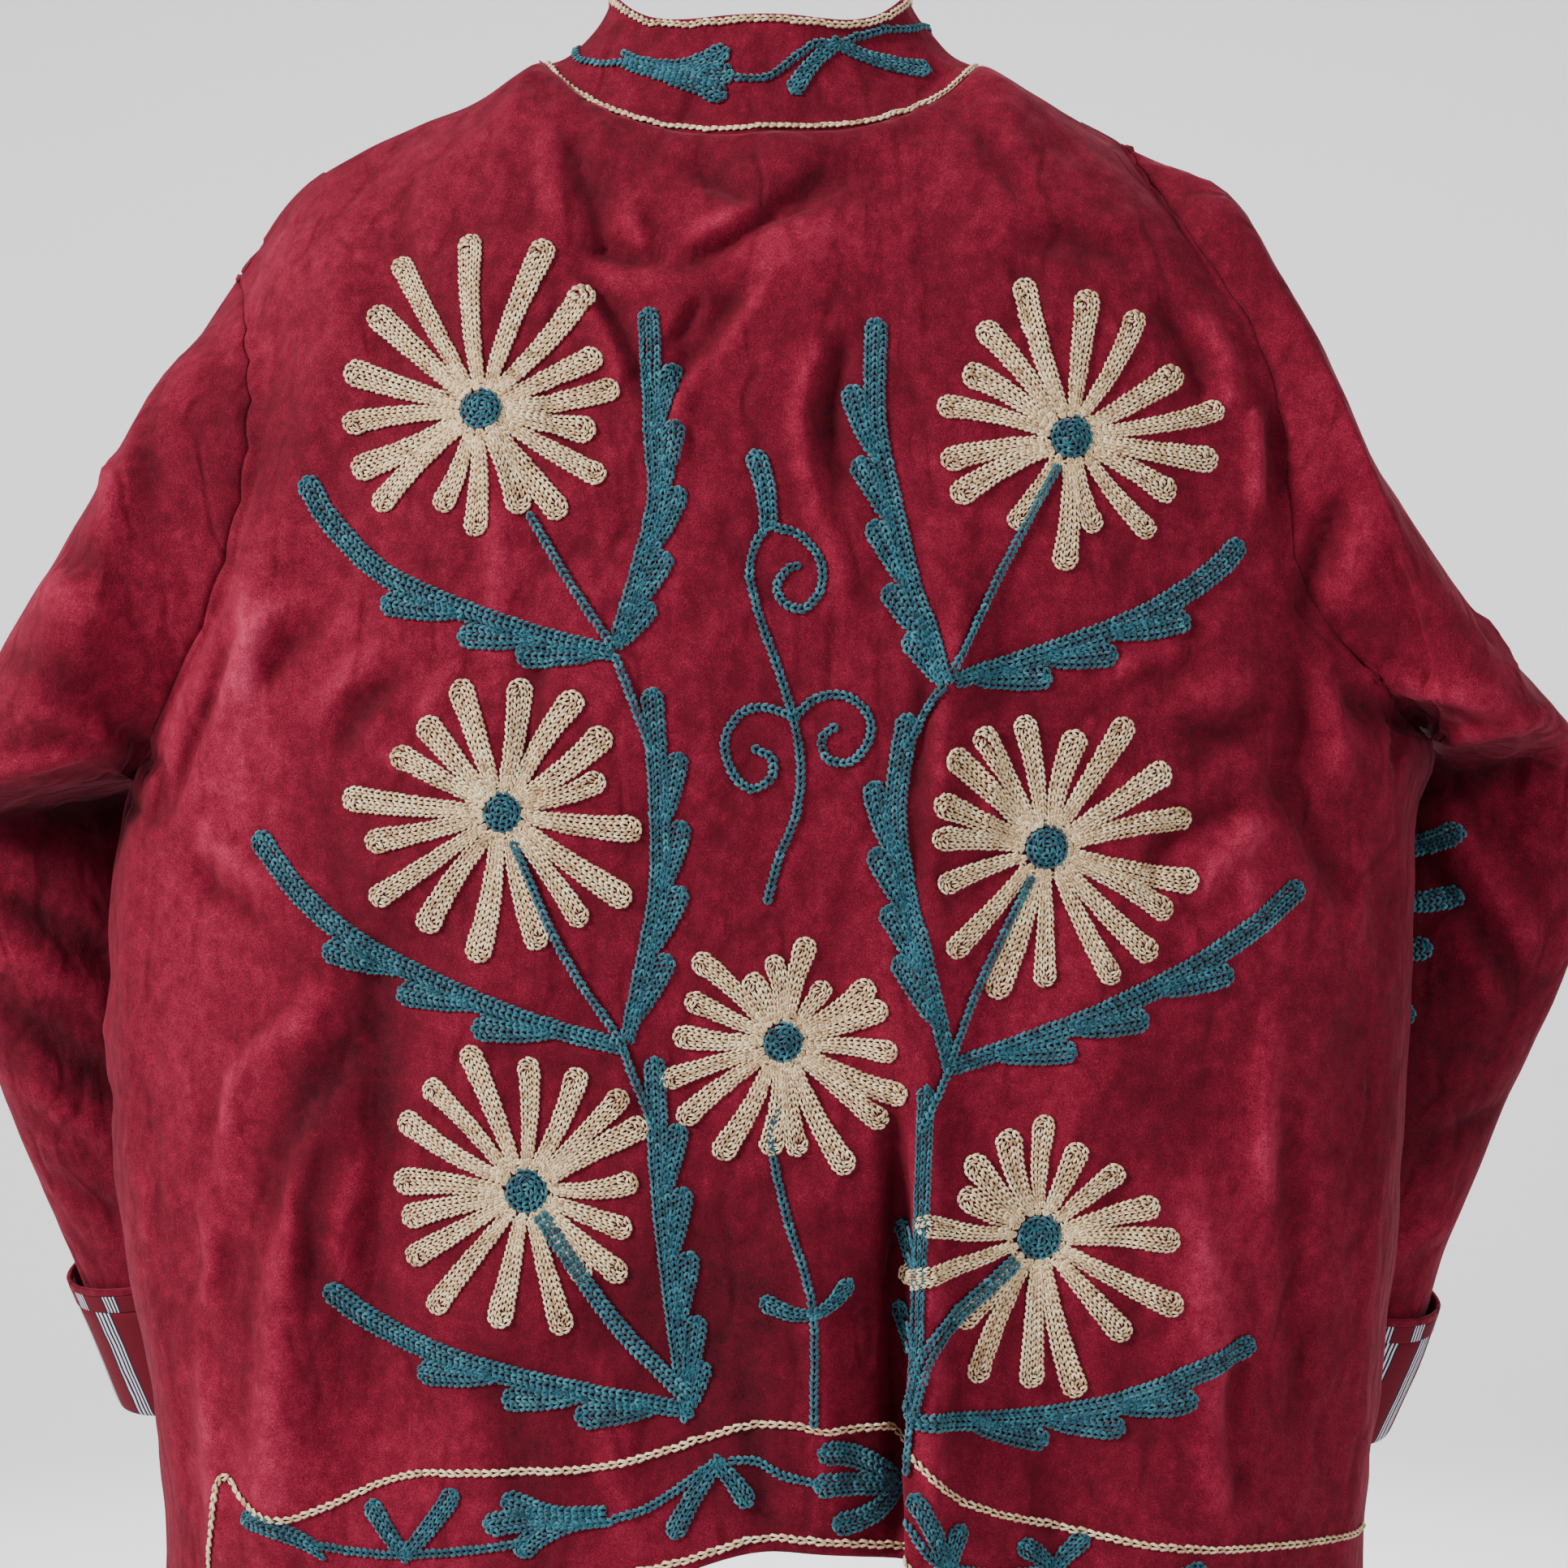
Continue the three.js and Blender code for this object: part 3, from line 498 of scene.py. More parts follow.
def new_material(name, finish):
    """A new material with its node tree and its shader, whose plain values are its finish."""
    material = bpy.data.materials.new(name)
    material.use_nodes = True
    tree = material.node_tree
    shader = tree.nodes["Principled BSDF"]
    for socket, value in finish.items():
        shader.inputs[socket].default_value = value
    return material, tree, shader


def add_node(tree, kind, sockets=None, **settings):
    """A shader node with its settings and its sockets, each a value or another node's output."""
    made = tree.nodes.new(kind)
    for name, value in settings.items():
        setattr(made, name, value)
    for name, value in (sockets or {}).items():
        if isinstance(value, bpy.types.NodeSocket):
            tree.links.new(value, made.inputs[name])
        else:
            made.inputs[name].default_value = value
    return made


def noise(tree, place, scale, detail, roughness, distortion):
    """A random mask of soft patches."""
    return add_node(tree, "ShaderNodeTexNoise", {
        "Vector": place, "Scale": scale, "Detail": detail, "Roughness": roughness,
        "Distortion": distortion}).outputs["Fac"]


def weigh(tree, masks, total=0.0):
    """A total with masks added to it, each times its weight."""
    for mask, weight in masks:
        total = add_node(tree, "ShaderNodeMath", {0: mask, 1: weight, 2: total},
                         operation="MULTIPLY_ADD").outputs["Value"]
    return total


def ramp(tree, value, stops, smooth="EASE"):
    """The colours that a value runs through."""
    made = add_node(tree, "ShaderNodeValToRGB", {"Fac": value})
    made.color_ramp.interpolation = smooth
    elements = made.color_ramp.elements
    elements.remove(elements[1])
    elements[0].position, elements[0].color = stops[0][0], (*stops[0][1], 1)
    for place, colour in stops[1:]:
        elements.new(place).color = (*colour, 1)
    return made.outputs["Color"]


def fibre_group():
    """Fine fibres, used by every cloth and yarn: a mask of short streaks and the bump they make."""
    tree = bpy.data.node_groups.new("fibres", "ShaderNodeTree")
    for name, kind in [("Vector", "NodeSocketVector"), ("Scale", "NodeSocketFloat"),
                       ("Height", "NodeSocketFloat"), ("Normal", "NodeSocketVector")]:
        tree.interface.new_socket(name, in_out="INPUT", socket_type=kind)
    tree.interface.new_socket("Streaks", in_out="OUTPUT", socket_type="NodeSocketFloat")
    tree.interface.new_socket("Normal", in_out="OUTPUT", socket_type="NodeSocketVector")
    entry = add_node(tree, "NodeGroupInput")
    streaks = noise(tree, entry.outputs["Vector"], entry.outputs["Scale"], 3.0, 0.65, 0.4)
    bump = add_node(tree, "ShaderNodeBump", {
        "Height": streaks, "Distance": entry.outputs["Height"], "Strength": 1.0,
        "Normal": entry.outputs["Normal"]})
    add_node(tree, "NodeGroupOutput", {"Streaks": streaks, "Normal": bump.outputs["Normal"]})
    return tree


fibres = fibre_group()


def lay_fibres(tree, place, scale, height):
    """The fibres in a material, by how fine they are and how high they stand."""
    return add_node(tree, "ShaderNodeGroup", {"Vector": place, "Scale": scale, "Height": height},
                    node_tree=fibres)


def wrinkles(tree, place, scale, distortion):
    """Thin wandering valleys between soft swellings, from 0 in a valley to 1 on a swelling."""
    level = add_node(tree, "ShaderNodeMath", {
        0: noise(tree, place, scale, 1.5, 0.5, distortion), 1: 0.5}, operation="SUBTRACT")
    away = add_node(tree, "ShaderNodeMath", {0: level.outputs["Value"]}, operation="ABSOLUTE")
    return add_node(tree, "ShaderNodeMapRange", {
        "Value": away.outputs["Value"], "From Min": 0.0, "From Max": 0.09},
        interpolation_type="SMOOTHSTEP").outputs["Result"]


def velvet_material():
    """Crimson pile, crushed into lighter and darker patches, with fine short hairs where it leans."""
    material, tree, shader = new_material("crimson_velvet", {
        "Roughness": 0.85, "Specular IOR Level": 0.15, "Sheen Weight": 0.24, "Sheen Roughness": 0.35,
        "Sheen Tint": (1.0, 0.22, 0.32, 1)})
    place = add_node(tree, "ShaderNodeTexCoord").outputs["Object"]
    slant = add_node(tree, "ShaderNodeMapping", {
        "Vector": place, "Rotation": (0.2, 0.9, 0.3), "Scale": (1.0, 1.0, 0.5)}).outputs["Vector"]
    broad = noise(tree, place, 9.0, 2.0, 0.5, 0.3)
    rumples = noise(tree, slant, 13.0, 4.5, 0.52, 0.25)
    crush = noise(tree, place, 120.0, 6.0, 0.72, 0.1)
    creased = wrinkles(tree, slant, 34.0, 0.15)
    pile = lay_fibres(tree, place, 1900.0, 0.00022)
    # painted light on the creases' ridges, painted shade in their troughs, and broad painted patches
    # of light and shade
    painted_shade = add_node(tree, "ShaderNodeAttribute", attribute_name="painted_shade").outputs["Fac"]
    # the rumples and wrinkles that the bump raises also lighten the colour on their swellings and
    # darken it in their dents and valleys: painted light and painted shade
    level = weigh(tree, [(broad, 0.14), (rumples, 0.13), (crush, 0.24),
                         (pile.outputs["Streaks"], 0.42), (creased, 0.022), (painted_shade, 0.08)])
    colour = ramp(tree, level, [
        (0.31, (0.024, 0.0005, 0.003)), (0.465, (0.120, 0.0022, 0.013)),
        (0.56, (0.25, 0.010, 0.034)), (0.72, (0.54, 0.055, 0.125))], "LINEAR")
    tree.links.new(colour, shader.inputs["Base Color"])
    dents = add_node(tree, "ShaderNodeBump", {
        "Height": rumples, "Distance": 0.014, "Strength": 1.0})
    pinched = add_node(tree, "ShaderNodeBump", {
        "Height": creased, "Distance": 0.0012, "Strength": 0.6, "Normal": dents.outputs["Normal"]})
    tree.links.new(pinched.outputs["Normal"], pile.inputs["Normal"])
    tree.links.new(pile.outputs["Normal"], shader.inputs["Normal"])
    return material


def reverse_material():
    """The woven cotton back of the velvet, matt and darker than its pile."""
    material, tree, shader = new_material("velvet_reverse", {"Roughness": 0.95})
    place = add_node(tree, "ShaderNodeTexCoord").outputs["Object"]
    weave = lay_fibres(tree, place, 900.0, 0.0002)
    colour = ramp(tree, weave.outputs["Streaks"], [
        (0.3, (0.13, 0.008, 0.02)), (0.7, (0.26, 0.02, 0.045))])
    tree.links.new(colour, shader.inputs["Base Color"])
    tree.links.new(weave.outputs["Normal"], shader.inputs["Normal"])
    return material


velvet = velvet_material()
reverse = reverse_material()
creases = crease_lines()
SHEETS = {                      # each panel's width, length and area, laid flat
    "back": (0.70, 0.72, 0.43),
    "front_left": (0.36, 0.73, 0.205),
    "front_right": (0.36, 0.73, 0.205),
    "sleeve_left": (0.50, 0.50, 0.17),
    "sleeve_right": (0.50, 0.54, 0.18),
    "collar": (0.60, 0.06, 0.026),
}
CROOK = np.array((297, -18, -322)) * MM     # where the left sleeve folds in against the back
CROOK_SIZE = 24 * MM
CROOK_TUCK = 9 * MM
OPENING_RISE = 15 * MM          # of the fronts' hems beside the opening
OPENING_REACH = 60 * MM
RISE_FROM, RISE_TO = -620 * MM, -710 * MM
panels = {}
for name in PANELS:
    panel = part_panel(name)
    panel.data.materials.append(velvet)
    panel.data.materials.append(reverse)
    apply_modifier(panel, "SOLIDIFY", thickness=WALL, offset=-1, material_offset=1)
    if name in FINE_PANELS:
        split_faces(panel, with_inside=name.startswith("sleeve"))
    lift = press_creases(panel, creases)
    # paints light onto ridges, shade into troughs and the broad painted patches into the panel's
    # colour
    paint_fold_shade(panel, lift)
    spots = read_vectors(panel.data.vertices, "co", len(panel.data.vertices))
    ways = read_vectors(panel.data.attributes["outward"].data, "vector", len(spots))
    spots += ways * sum(rumple(spots, *kind) for kind in RUMPLES)[:, None]
    if name == "sleeve_left":
        spots[:, 0] -= CROOK_TUCK * np.exp(-(((spots - CROOK) / CROOK_SIZE) ** 2).sum(axis=1))
    if name.startswith("front"):
        low = np.clip((RISE_FROM - spots[:, 2]) / (RISE_FROM - RISE_TO), 0, 1)
        spots[:, 2] += OPENING_RISE * low * np.exp(-((spots[:, 0] / OPENING_REACH) ** 2))
    panel.data.vertices.foreach_set("co", spots.ravel())
    shade_smooth(panel)
    width, length, area = SHEETS[name]
    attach(panel, "root")
    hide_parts(name)
    panels[name] = panel
bpy.data.objects.remove(garment)

# ---------------------------------------------------------------------------------------------
# Chain stitch: one link of thick yarn is two plies that bow apart and close again inside the next
# link. Each link is a copy of one modelled pair of plies, laid along rows on the velvet.
PITCH = 2.9 * MM                # from one link to the next
ROW = 3.3 * MM                  # breadth of a row of links
PLY = 0.88 * MM                 # radius of one ply
PLY_BODY = 0.62                 # its length in pitches before its ends are drawn out
PLY_PLACES = {                  # in pitches ahead, rows aside and radii up
    # on the axis, ahead of the middle: the place of a tip, or the move of the ring beside it
    (True, True): (1.30, 0, 0.6),
    (True, False): (-0.25, 0.06, 0.3),
    (False, True): (0.62, 0.12, 1.25),
    (False, False): (0.62, 0.335, 0.85),
}
TRACE = 1 * MM                  # step at which a row looks for the cloth below it
JUMP = 3.5 * MM                 # a row breaks off where the cloth is further apart than this
LINK_TURN = 0.07                # spread of the links' turns out of line
LINK_BREADTHS = (0.9, 1.1)
LINK_HEIGHTS = (0.85, 1.2)
DRIFT_LINKS = 9                 # links over which a yarn's shade drifts
SHADE_DRIFT = 0.12
SHADE_SPREAD = 0.13             # between neighbouring links


def model_ply():
    """One ply of a link: a three-sided spindle that bows out to one side."""
    deselect()
    bpy.ops.mesh.primitive_cylinder_add(
        vertices=3, radius=PLY, depth=PLY_BODY * PITCH, end_fill_type="TRIFAN",
        rotation=(0, math.pi / 2, 0)
    )
    ply = bpy.context.object
    bpy.ops.object.transform_apply(location=False, rotation=True, scale=False)
    for vert in ply.data.vertices:
        on_axis = math.hypot(vert.co.y, vert.co.z) < PLY / 4
        ahead, aside, up = PLY_PLACES[on_axis, vert.co.x > 0]
        place = Vector((ahead * PITCH, aside * ROW, up * PLY))
        vert.co = place if on_axis else vert.co + place
    return ply


def model_link():
    """A link's two plies as arrays of corners and faces."""
    left = model_ply()
    right = left.copy()
    right.data = left.data.copy()
    bpy.context.scene.collection.objects.link(right)
    for vert in right.data.vertices:
        vert.co.y = -vert.co.y
    right.data.flip_normals()
    pick(left, right)
    bpy.ops.object.join()
    corners = read_vectors(left.data.vertices, "co", len(left.data.vertices))
    faces = [list(face.vertices) for face in left.data.polygons]
    bpy.data.objects.remove(left)
    return corners, faces


LINK_CORNERS, LINK_FACES = model_link()


class Ground:
    """Cloth that rows of stitches are laid on. look gives the ray that finds it at a drawn point."""

    def __init__(self, obj, look):
        self.hull = BVHTree.FromObject(obj, bpy.context.evaluated_depsgraph_get())
        self.look = look

    def runs(self, line, pitch):
        """The places and normals of links along a line of drawn points, broken where cloth ends."""
        track = []
        for across, up in even_line(line, TRACE):
            place, normal, _, _ = self.hull.ray_cast(*self.look(across, up))
            if place is None or (track and (place - track[-1][0]).length > JUMP):
                yield from self.links(track, pitch)
                track = []
            if place is not None:
                track.append((place, normal))
        yield from self.links(track, pitch)

    def links(self, track, pitch):
        """The places and normals of links along an unbroken track, unless it is very short."""
        if len(track) < 4:
            return
        rows = np.array([(*place, *way) for place, way in track])
        steps = np.linalg.norm(np.diff(rows[:, :3], axis=0), axis=1)
        lengths = np.concatenate([[0], np.cumsum(steps)])
        even = np.linspace(0, lengths[-1], max(2, int(round(lengths[-1] / pitch)) + 1))
        laid = np.stack([np.interp(even, lengths, column) for column in rows.T], axis=1)
        yield laid[:, :3], laid[:, 3:]


def stitch(name, ground, rows, yarn, seed, pitch=PITCH, lift=0.0):
    """Rows of chain stitch as one piece. Each row is (line in mm, breadth as a share of ROW)."""
    random = np.random.default_rng(seed)
    corners, shades = [], []
    laid = [(run, breadth) for line, breadth in rows
            for run in ground.runs(np.array(line, float) * MM, pitch)]
    for (places, normals), breadth in laid:
        ahead = unit(np.gradient(places, axis=0))
        normals = unit(normals)
        places = places + normals * lift
        aside = unit(np.cross(normals, ahead))
        above = np.cross(ahead, aside)
        count = len(places)
        turn = random.normal(0, LINK_TURN, count)[:, None]
        ahead, aside = ahead + aside * turn, aside - ahead * turn
        size = random.uniform(*LINK_BREADTHS, count) * breadth
        height = random.uniform(*LINK_HEIGHTS, count)
        shape = LINK_CORNERS[None, :, :]
        corners.append(places[:, None, :] + ahead[:, None, :] * shape[..., :1] * (pitch / PITCH)
                       + aside[:, None, :] * shape[..., 1:2] * size[:, None, None]
                       + above[:, None, :] * shape[..., 2:] * height[:, None, None])
        turns = np.arange(0, count + DRIFT_LINKS, DRIFT_LINKS)
        drift = np.interp(np.arange(count), turns,
                          random.uniform(-SHADE_DRIFT, SHADE_DRIFT, len(turns)))
        shades.append(np.clip(0.5 + drift + random.normal(0, SHADE_SPREAD, count), 0, 1))
    corners = np.concatenate(corners)
    shades = np.concatenate(shades)
    links, per_link = corners.shape[:2]
    faces = [[corner + link * per_link for corner in face]
             for link in range(links) for face in LINK_FACES]
    mesh = bpy.data.meshes.new(name)
    mesh.from_pydata(corners.reshape(-1, 3).tolist(), [], faces)
    shade = mesh.attributes.new("shade", "FLOAT", "POINT")
    shade.data.foreach_set("value", np.repeat(shades, per_link).astype(np.float32))
    mesh.materials.append(yarn)
    piece = new_object(name, mesh)
    shade_smooth(piece)
    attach(piece, "root")


def yarn_material(name, dark, middle, light):
    """Matt spun yarn, whose shade drifts along the thread and whose fibres break up the light."""
    material, tree, shader = new_material(name, {
        "Roughness": 0.9, "Specular IOR Level": 0.2, "Sheen Weight": 0.25})
    place = add_node(tree, "ShaderNodeTexCoord").outputs["Object"]
    twist = lay_fibres(tree, place, 1500.0, 0.00022)
    shade = add_node(tree, "ShaderNodeAttribute", attribute_name="shade").outputs["Fac"]
    level = weigh(tree, [(twist.outputs["Streaks"], 0.8), (shade, 1.0)], -0.4)
    colour = ramp(tree, level, [(0.15, dark), (0.5, middle), (0.85, light)], "LINEAR")
    tree.links.new(colour, shader.inputs["Base Color"])
    tree.links.new(twist.outputs["Normal"], shader.inputs["Normal"])
    return material


cream = yarn_material("cream_yarn", (0.46, 0.27, 0.14), (0.88, 0.635, 0.37), (1.0, 0.87, 0.59))
teal = yarn_material("teal_yarn", (0.006, 0.04, 0.062), (0.014, 0.10, 0.145), (0.04, 0.22, 0.28))

# Shapes drawn on the cloth in x and z, as rows of chain that a needle would follow.
DRAWN_STEP = 2.0                # between the points of a drawn curve, in mm
CAP_POINTS = 7                  # round the tip of a finger
SHORTEST = 0.2                  # share of a finger's length that its sides have at least
MIDDLE_ROW = 0.3                # how far its middle row runs on into the tip


def bowed(start, end, bow, count=24):
    """Points of a line between two places that bows to its left by a distance at its middle."""
    start, end = np.array(start, float), np.array(end, float)
    way = end - start
    left = np.array([-way[1], way[0]]) / np.linalg.norm(way)
    share = np.linspace(0, 1, count)[:, None]
    return start + way * share + left * bow * 4 * share * (1 - share)


def lefts_of(line):
    """The unit vectors to the left all along a line."""
    ways = unit(np.gradient(line, axis=0))
    return np.stack([-ways[:, 1], ways[:, 0]], axis=1)


def finger(spine, breadth, rows, root=0.45, swell=0.7):
    """Rows of chain that go up one side of a finger, round its tip and back down the other. root
    is its breadth at the start as a share, and swell how late it reaches the whole."""
    share = np.linspace(0, 1, len(spine))[:, None]
    length = np.linalg.norm(np.diff(spine, axis=0), axis=1).sum()
    stop = max(SHORTEST, 1 - breadth / 2 / length)
    body = spine[share[:, 0] <= stop]
    inner = share[share[:, 0] <= stop] / stop
    lefts = lefts_of(spine)[: len(body)]
    full = root + (1 - root) * inner ** swell
    row = breadth / rows
    lines = []
    for ring in range(rows // 2):
        half = breadth / 2 - row * (ring + 0.5)
        left = body + lefts * half * full
        right = body - lefts * half * full
        angles = np.linspace(0, math.pi, CAP_POINTS + 2)[1:-1]
        forward = np.array([lefts[-1][1], -lefts[-1][0]])
        cap = [body[-1] + half * (math.cos(a) * lefts[-1] + math.sin(a) * forward) for a in angles]
        lines.append((np.vstack([left, cap, right[::-1]]), row * MM / ROW))
    if rows % 2:
        end = body[-1:] + (spine[-1] - body[-1]) * MIDDLE_ROW
        lines.append((np.vstack([body, end]), row * MM / ROW))
    return lines


def ring_of(centre, radius, count=40):
    """Points all round a circle."""
    angles = np.linspace(0, 2 * math.pi, count)
    return np.array(centre) + radius * np.stack([np.cos(angles), np.sin(angles)], axis=1)


def coil(centre, outer, inner, start, turns, count=90):
    """A spiral from an outer radius in to an inner one. start is in degrees and turns is signed."""
    angles = math.radians(start) + np.linspace(0, 2 * math.pi * turns, count)
    radii = np.linspace(outer, inner, count)[:, None]
    return np.array(centre) + radii * np.stack([np.cos(angles), np.sin(angles)], axis=1)


def stem(points, rows=1, breadth=1.15):
    """Chain rows side by side along a smooth curve through points."""
    line = smooth_line(points, DRAWN_STEP)
    lefts = lefts_of(line)
    row = breadth * ROW / MM
    return [(line + lefts * row * (k - (rows - 1) / 2), breadth) for k in range(rows)]


# ---------------------------------------------------------------------------------------------
# Daisies: cream petals of two rows of chain each way, worked out from a coiled teal eye with a
# cream ring. Their petals are uneven in length, breadth and spacing, as handwork is. Angles run
# from the wearer's left towards up.
back_ground = Ground(panels["back"], VIEWS["back"])
DAISIES = [
    # eye at x, z, its radius, petals, start angle, mean reach, longer towards and by, seed
    ((121, -161), 8.5, 17, 86, 63, (84, 12), 4),
    ((-135, -173), 8.8, 16, 98, 60, (100, 9), 12),
    ((111, -336), 8.0, 16, 72, 62, (-45, 3), 23),
    ((-124, -351), 9.0, 17, 80, 61, (210, 8), 31),
    ((-10, -435), 8.2, 18, 83, 51, (280, 10), 47),
    ((101, -500), 9.0, 17, 68, 60, (30, 5), 52),
    ((-121, -520), 9.6, 16, 114, 58, (240, 9), 66),
]
PETAL = 11.4                    # breadth of a petal near its tip, where the reach is PETAL_REACH
PETAL_REACH = 62
PETAL_BREADTHS = (0.85, 1.08)
PETAL_GAPS = (0.72, 1.28)
PETAL_TIPS = (-11, 9)           # from the mean reach
PETAL_BOWS = (-2.5, 2.5)
EYE_RING = 3.0                  # from the eye's edge out to the cream ring
for number, (centre, eye, petals, start, reach, (long_way, longer), seed) in enumerate(DAISIES, 1):
    random = np.random.default_rng(seed)
    gaps = random.uniform(*PETAL_GAPS, petals)
    rows = []
    for angle in start + 360 * np.cumsum(gaps) / gaps.sum():
        lean = math.cos(math.radians(angle - long_way))
        tip = reach + longer * lean + random.uniform(*PETAL_TIPS)
        way = np.array([math.cos(math.radians(angle)), math.sin(math.radians(angle))])
        spine = bowed(centre + way * (eye + EYE_RING), centre + way * tip,
                      random.uniform(*PETAL_BOWS))
        breadth = PETAL * random.uniform(*PETAL_BREADTHS) * math.sqrt(reach / PETAL_REACH)
        rows += finger(spine, breadth, 4, root=0.36, swell=0.9)
    rows += [(ring_of(centre, eye + EYE_RING), 0.9)]
    stitch(f"daisy_{number}", back_ground, rows, cream, seed)
    heart = coil(centre, eye - 0.2, 0.8, start, eye / 2.5)
    stitch(f"daisy_eye_{number}", back_ground, [(heart, 1.0)], teal, seed + 1, lift=0.7 * MM)

# ---------------------------------------------------------------------------------------------
# Leaf sprays: teal fingers that run from a tip down to a joint of the stem, with rounded lobes
# along one side that point back to the tip.
LEAF = 9.6                      # breadth of a spray's rib
LOBE = 10.0                     # breadth of a lobe
LOBE_LENGTH = 29.0
LOBE_POINTS = 12
ROOT_TO_RIB = 0.3               # share of the rib's half breadth at which a lobe starts
TIP_TO_RIB = 0.72               # share by which its tip stands out further
SPRAYS = [
    # from tip to joint, breadth as a share, side of the lobes, distances of their tips from the tip
    ([(48, -115), (46, -165), (44, -198), (50, -226), (62, -265)], 1.0, -1, (26, 52, 79, 106, 128)),
    ([(46, -281), (43, -330), (43, -366), (48, -394), (57, -435)], 1.0, -1, (29, 58, 85, 114)),
    ([(45, -440), (43, -490), (38, -540), (31, -596)], 1.0, -1, (30, 58, 86, 114, 134)),
    ([(200, -188), (187, -209), (163, -232), (131, -247), (96, -259), (63, -267)], 1.1, 1,
     (62, 98, 124)),
    ([(222, -344), (203, -369), (177, -391), (145, -408), (103, -425), (59, -437)], 1.1, 1,
     (56, 92, 128)),
    ([(190, -542), (170, -558), (138, -571), (100, -581), (65, -588), (31, -594)], 1.1, 1,
     (52, 90, 122)),
    ([(-51, -120), (-50, -160), (-53, -182), (-66, -238), (-74, -258), (-80, -281)], 1.05, 1,
     (30, 60, 88, 116, 138)),
    ([(-65, -292), (-60, -320), (-59, -342), (-64, -370), (-77, -424), (-82, -445)], 1.05, 1,
     (31, 57, 82, 104)),
    ([(-72, -453), (-70, -510), (-68, -560), (-66, -594)], 0.75, 1, (60, 96)),
    ([(-213, -216), (-198, -231), (-170, -249), (-138, -262), (-107, -272), (-84, -279)], 1.1, -1,
     (40, 74, 104)),
    ([(-241, -367), (-214, -389), (-182, -408), (-140, -426), (-107, -438), (-82, -446)], 1.1, -1,
     (48, 90, 124)),
    ([(-219, -569), (-191, -580), (-163, -591), (-128, -598), (-93, -598), (-65, -596)], 1.1, -1,
     (34, 66, 98)),
]
for number, (points, size, side, lobes) in enumerate(SPRAYS, 1):
    rib = smooth_line(points, DRAWN_STEP)
    from_tip = np.concatenate([[0], np.cumsum(np.linalg.norm(np.diff(rib, axis=0), axis=1))])
    lefts = lefts_of(rib) * side
    rows = finger(rib[::-1], LEAF * size, 3, root=0.5, swell=0.5)
    for tip in lobes:
        base = min(tip + LOBE_LENGTH * size, from_tip[-1] - 4)
        along = np.linspace(base, tip, LOBE_POINTS)
        swing = np.linspace(0, 1, LOBE_POINTS) ** 0.8
        out = (LEAF / 2 * ROOT_TO_RIB + (LEAF / 2 * TIP_TO_RIB + LOBE / 2) * swing) * size
        middle = np.stack([np.interp(along, from_tip, axis) for axis in rib.T], axis=1)
        aside = np.stack([np.interp(along, from_tip, axis) for axis in lefts.T], axis=1)
        rows += finger(middle + aside * out[:, None], LOBE * size, 3, root=0.45)
    stitch(f"spray_{number}", back_ground, rows, teal, 100 + number)

# ---------------------------------------------------------------------------------------------
# Stems: teal chain that joins the sprays and the daisies, laid over the petals that it crosses, and
# a scroll in the middle of the back with a bud on top and two small leaves near its foot.
STEMS = [
    # points, rows
    ([(62, -265), (78, -242), (98, -209)], 1),
    ([(59, -435), (84, -398), (105, -351)], 1),
    ([(31, -588), (62, -556), (93, -512)], 2),
    ([(-81, -279), (-98, -244), (-128, -188)], 1),
    ([(-82, -444), (-96, -408), (-117, -366)], 1),
    ([(-65, -594), (-76, -562), (-109, -532)], 2),
    ([(62, -268), (55, -286), (47, -307)], 1),
    ([(59, -437), (54, -450), (46, -470)], 1),
    ([(-80, -281), (-72, -293), (-64, -306)], 1),
    ([(-82, -446), (-76, -458), (-71, -470)], 1),
    ([(-66, -594), (-65, -606), (-64, -616)], 1),
]
SCROLL = [
    # the stem from the bud down to the daisy, its three curls, and the stem below the daisy
    [(-4, -212), (1, -219), (4, -232), (2, -244), (-4, -262), (-10, -279), (-15, -296), (-18, -316),
     (-16, -336), (-9, -354), (-4, -372)],
    [(-4, -212), (-17, -216), (-26, -226), (-27, -238), (-21, -247), (-13, -247), (-8, -240),
     (-11, -232), (-15, -230)],
    [(-15, -295), (-5, -291), (6, -292), (14, -302), (13, -315), (5, -325), (-4, -322), (-6, -313),
     (0, -309)],
    [(-15, -295), (-24, -287), (-36, -285), (-46, -292), (-48, -302), (-41, -313), (-30, -313),
     (-27, -304), (-31, -300)],
    [(-9, -462), (-5, -477), (-12, -510), (-23, -549), (-24, -598)],
]
SCROLL_FINGERS = [
    # from, to, bow, breadth and root of the bud and of the two leaves
    ((-4, -213), (3, -178), 2, 9.5, 0.7),
    ((-24, -552), (-1, -545), -3, 8.0, 0.4),
    ((-24, -552), (-40, -537), 2, 8.0, 0.4),
]
rows = [row for points, count in STEMS for row in stem(points, count)]
stitch("stems", back_ground, rows, teal, 140, lift=0.9 * MM)
rows = [row for points in SCROLL for row in stem(points)]
for base, tip, bow, breadth, root in SCROLL_FINGERS:
    rows += finger(bowed(base, tip, bow), breadth, 3, root=root)
stitch("scroll", back_ground, rows, teal, 141)

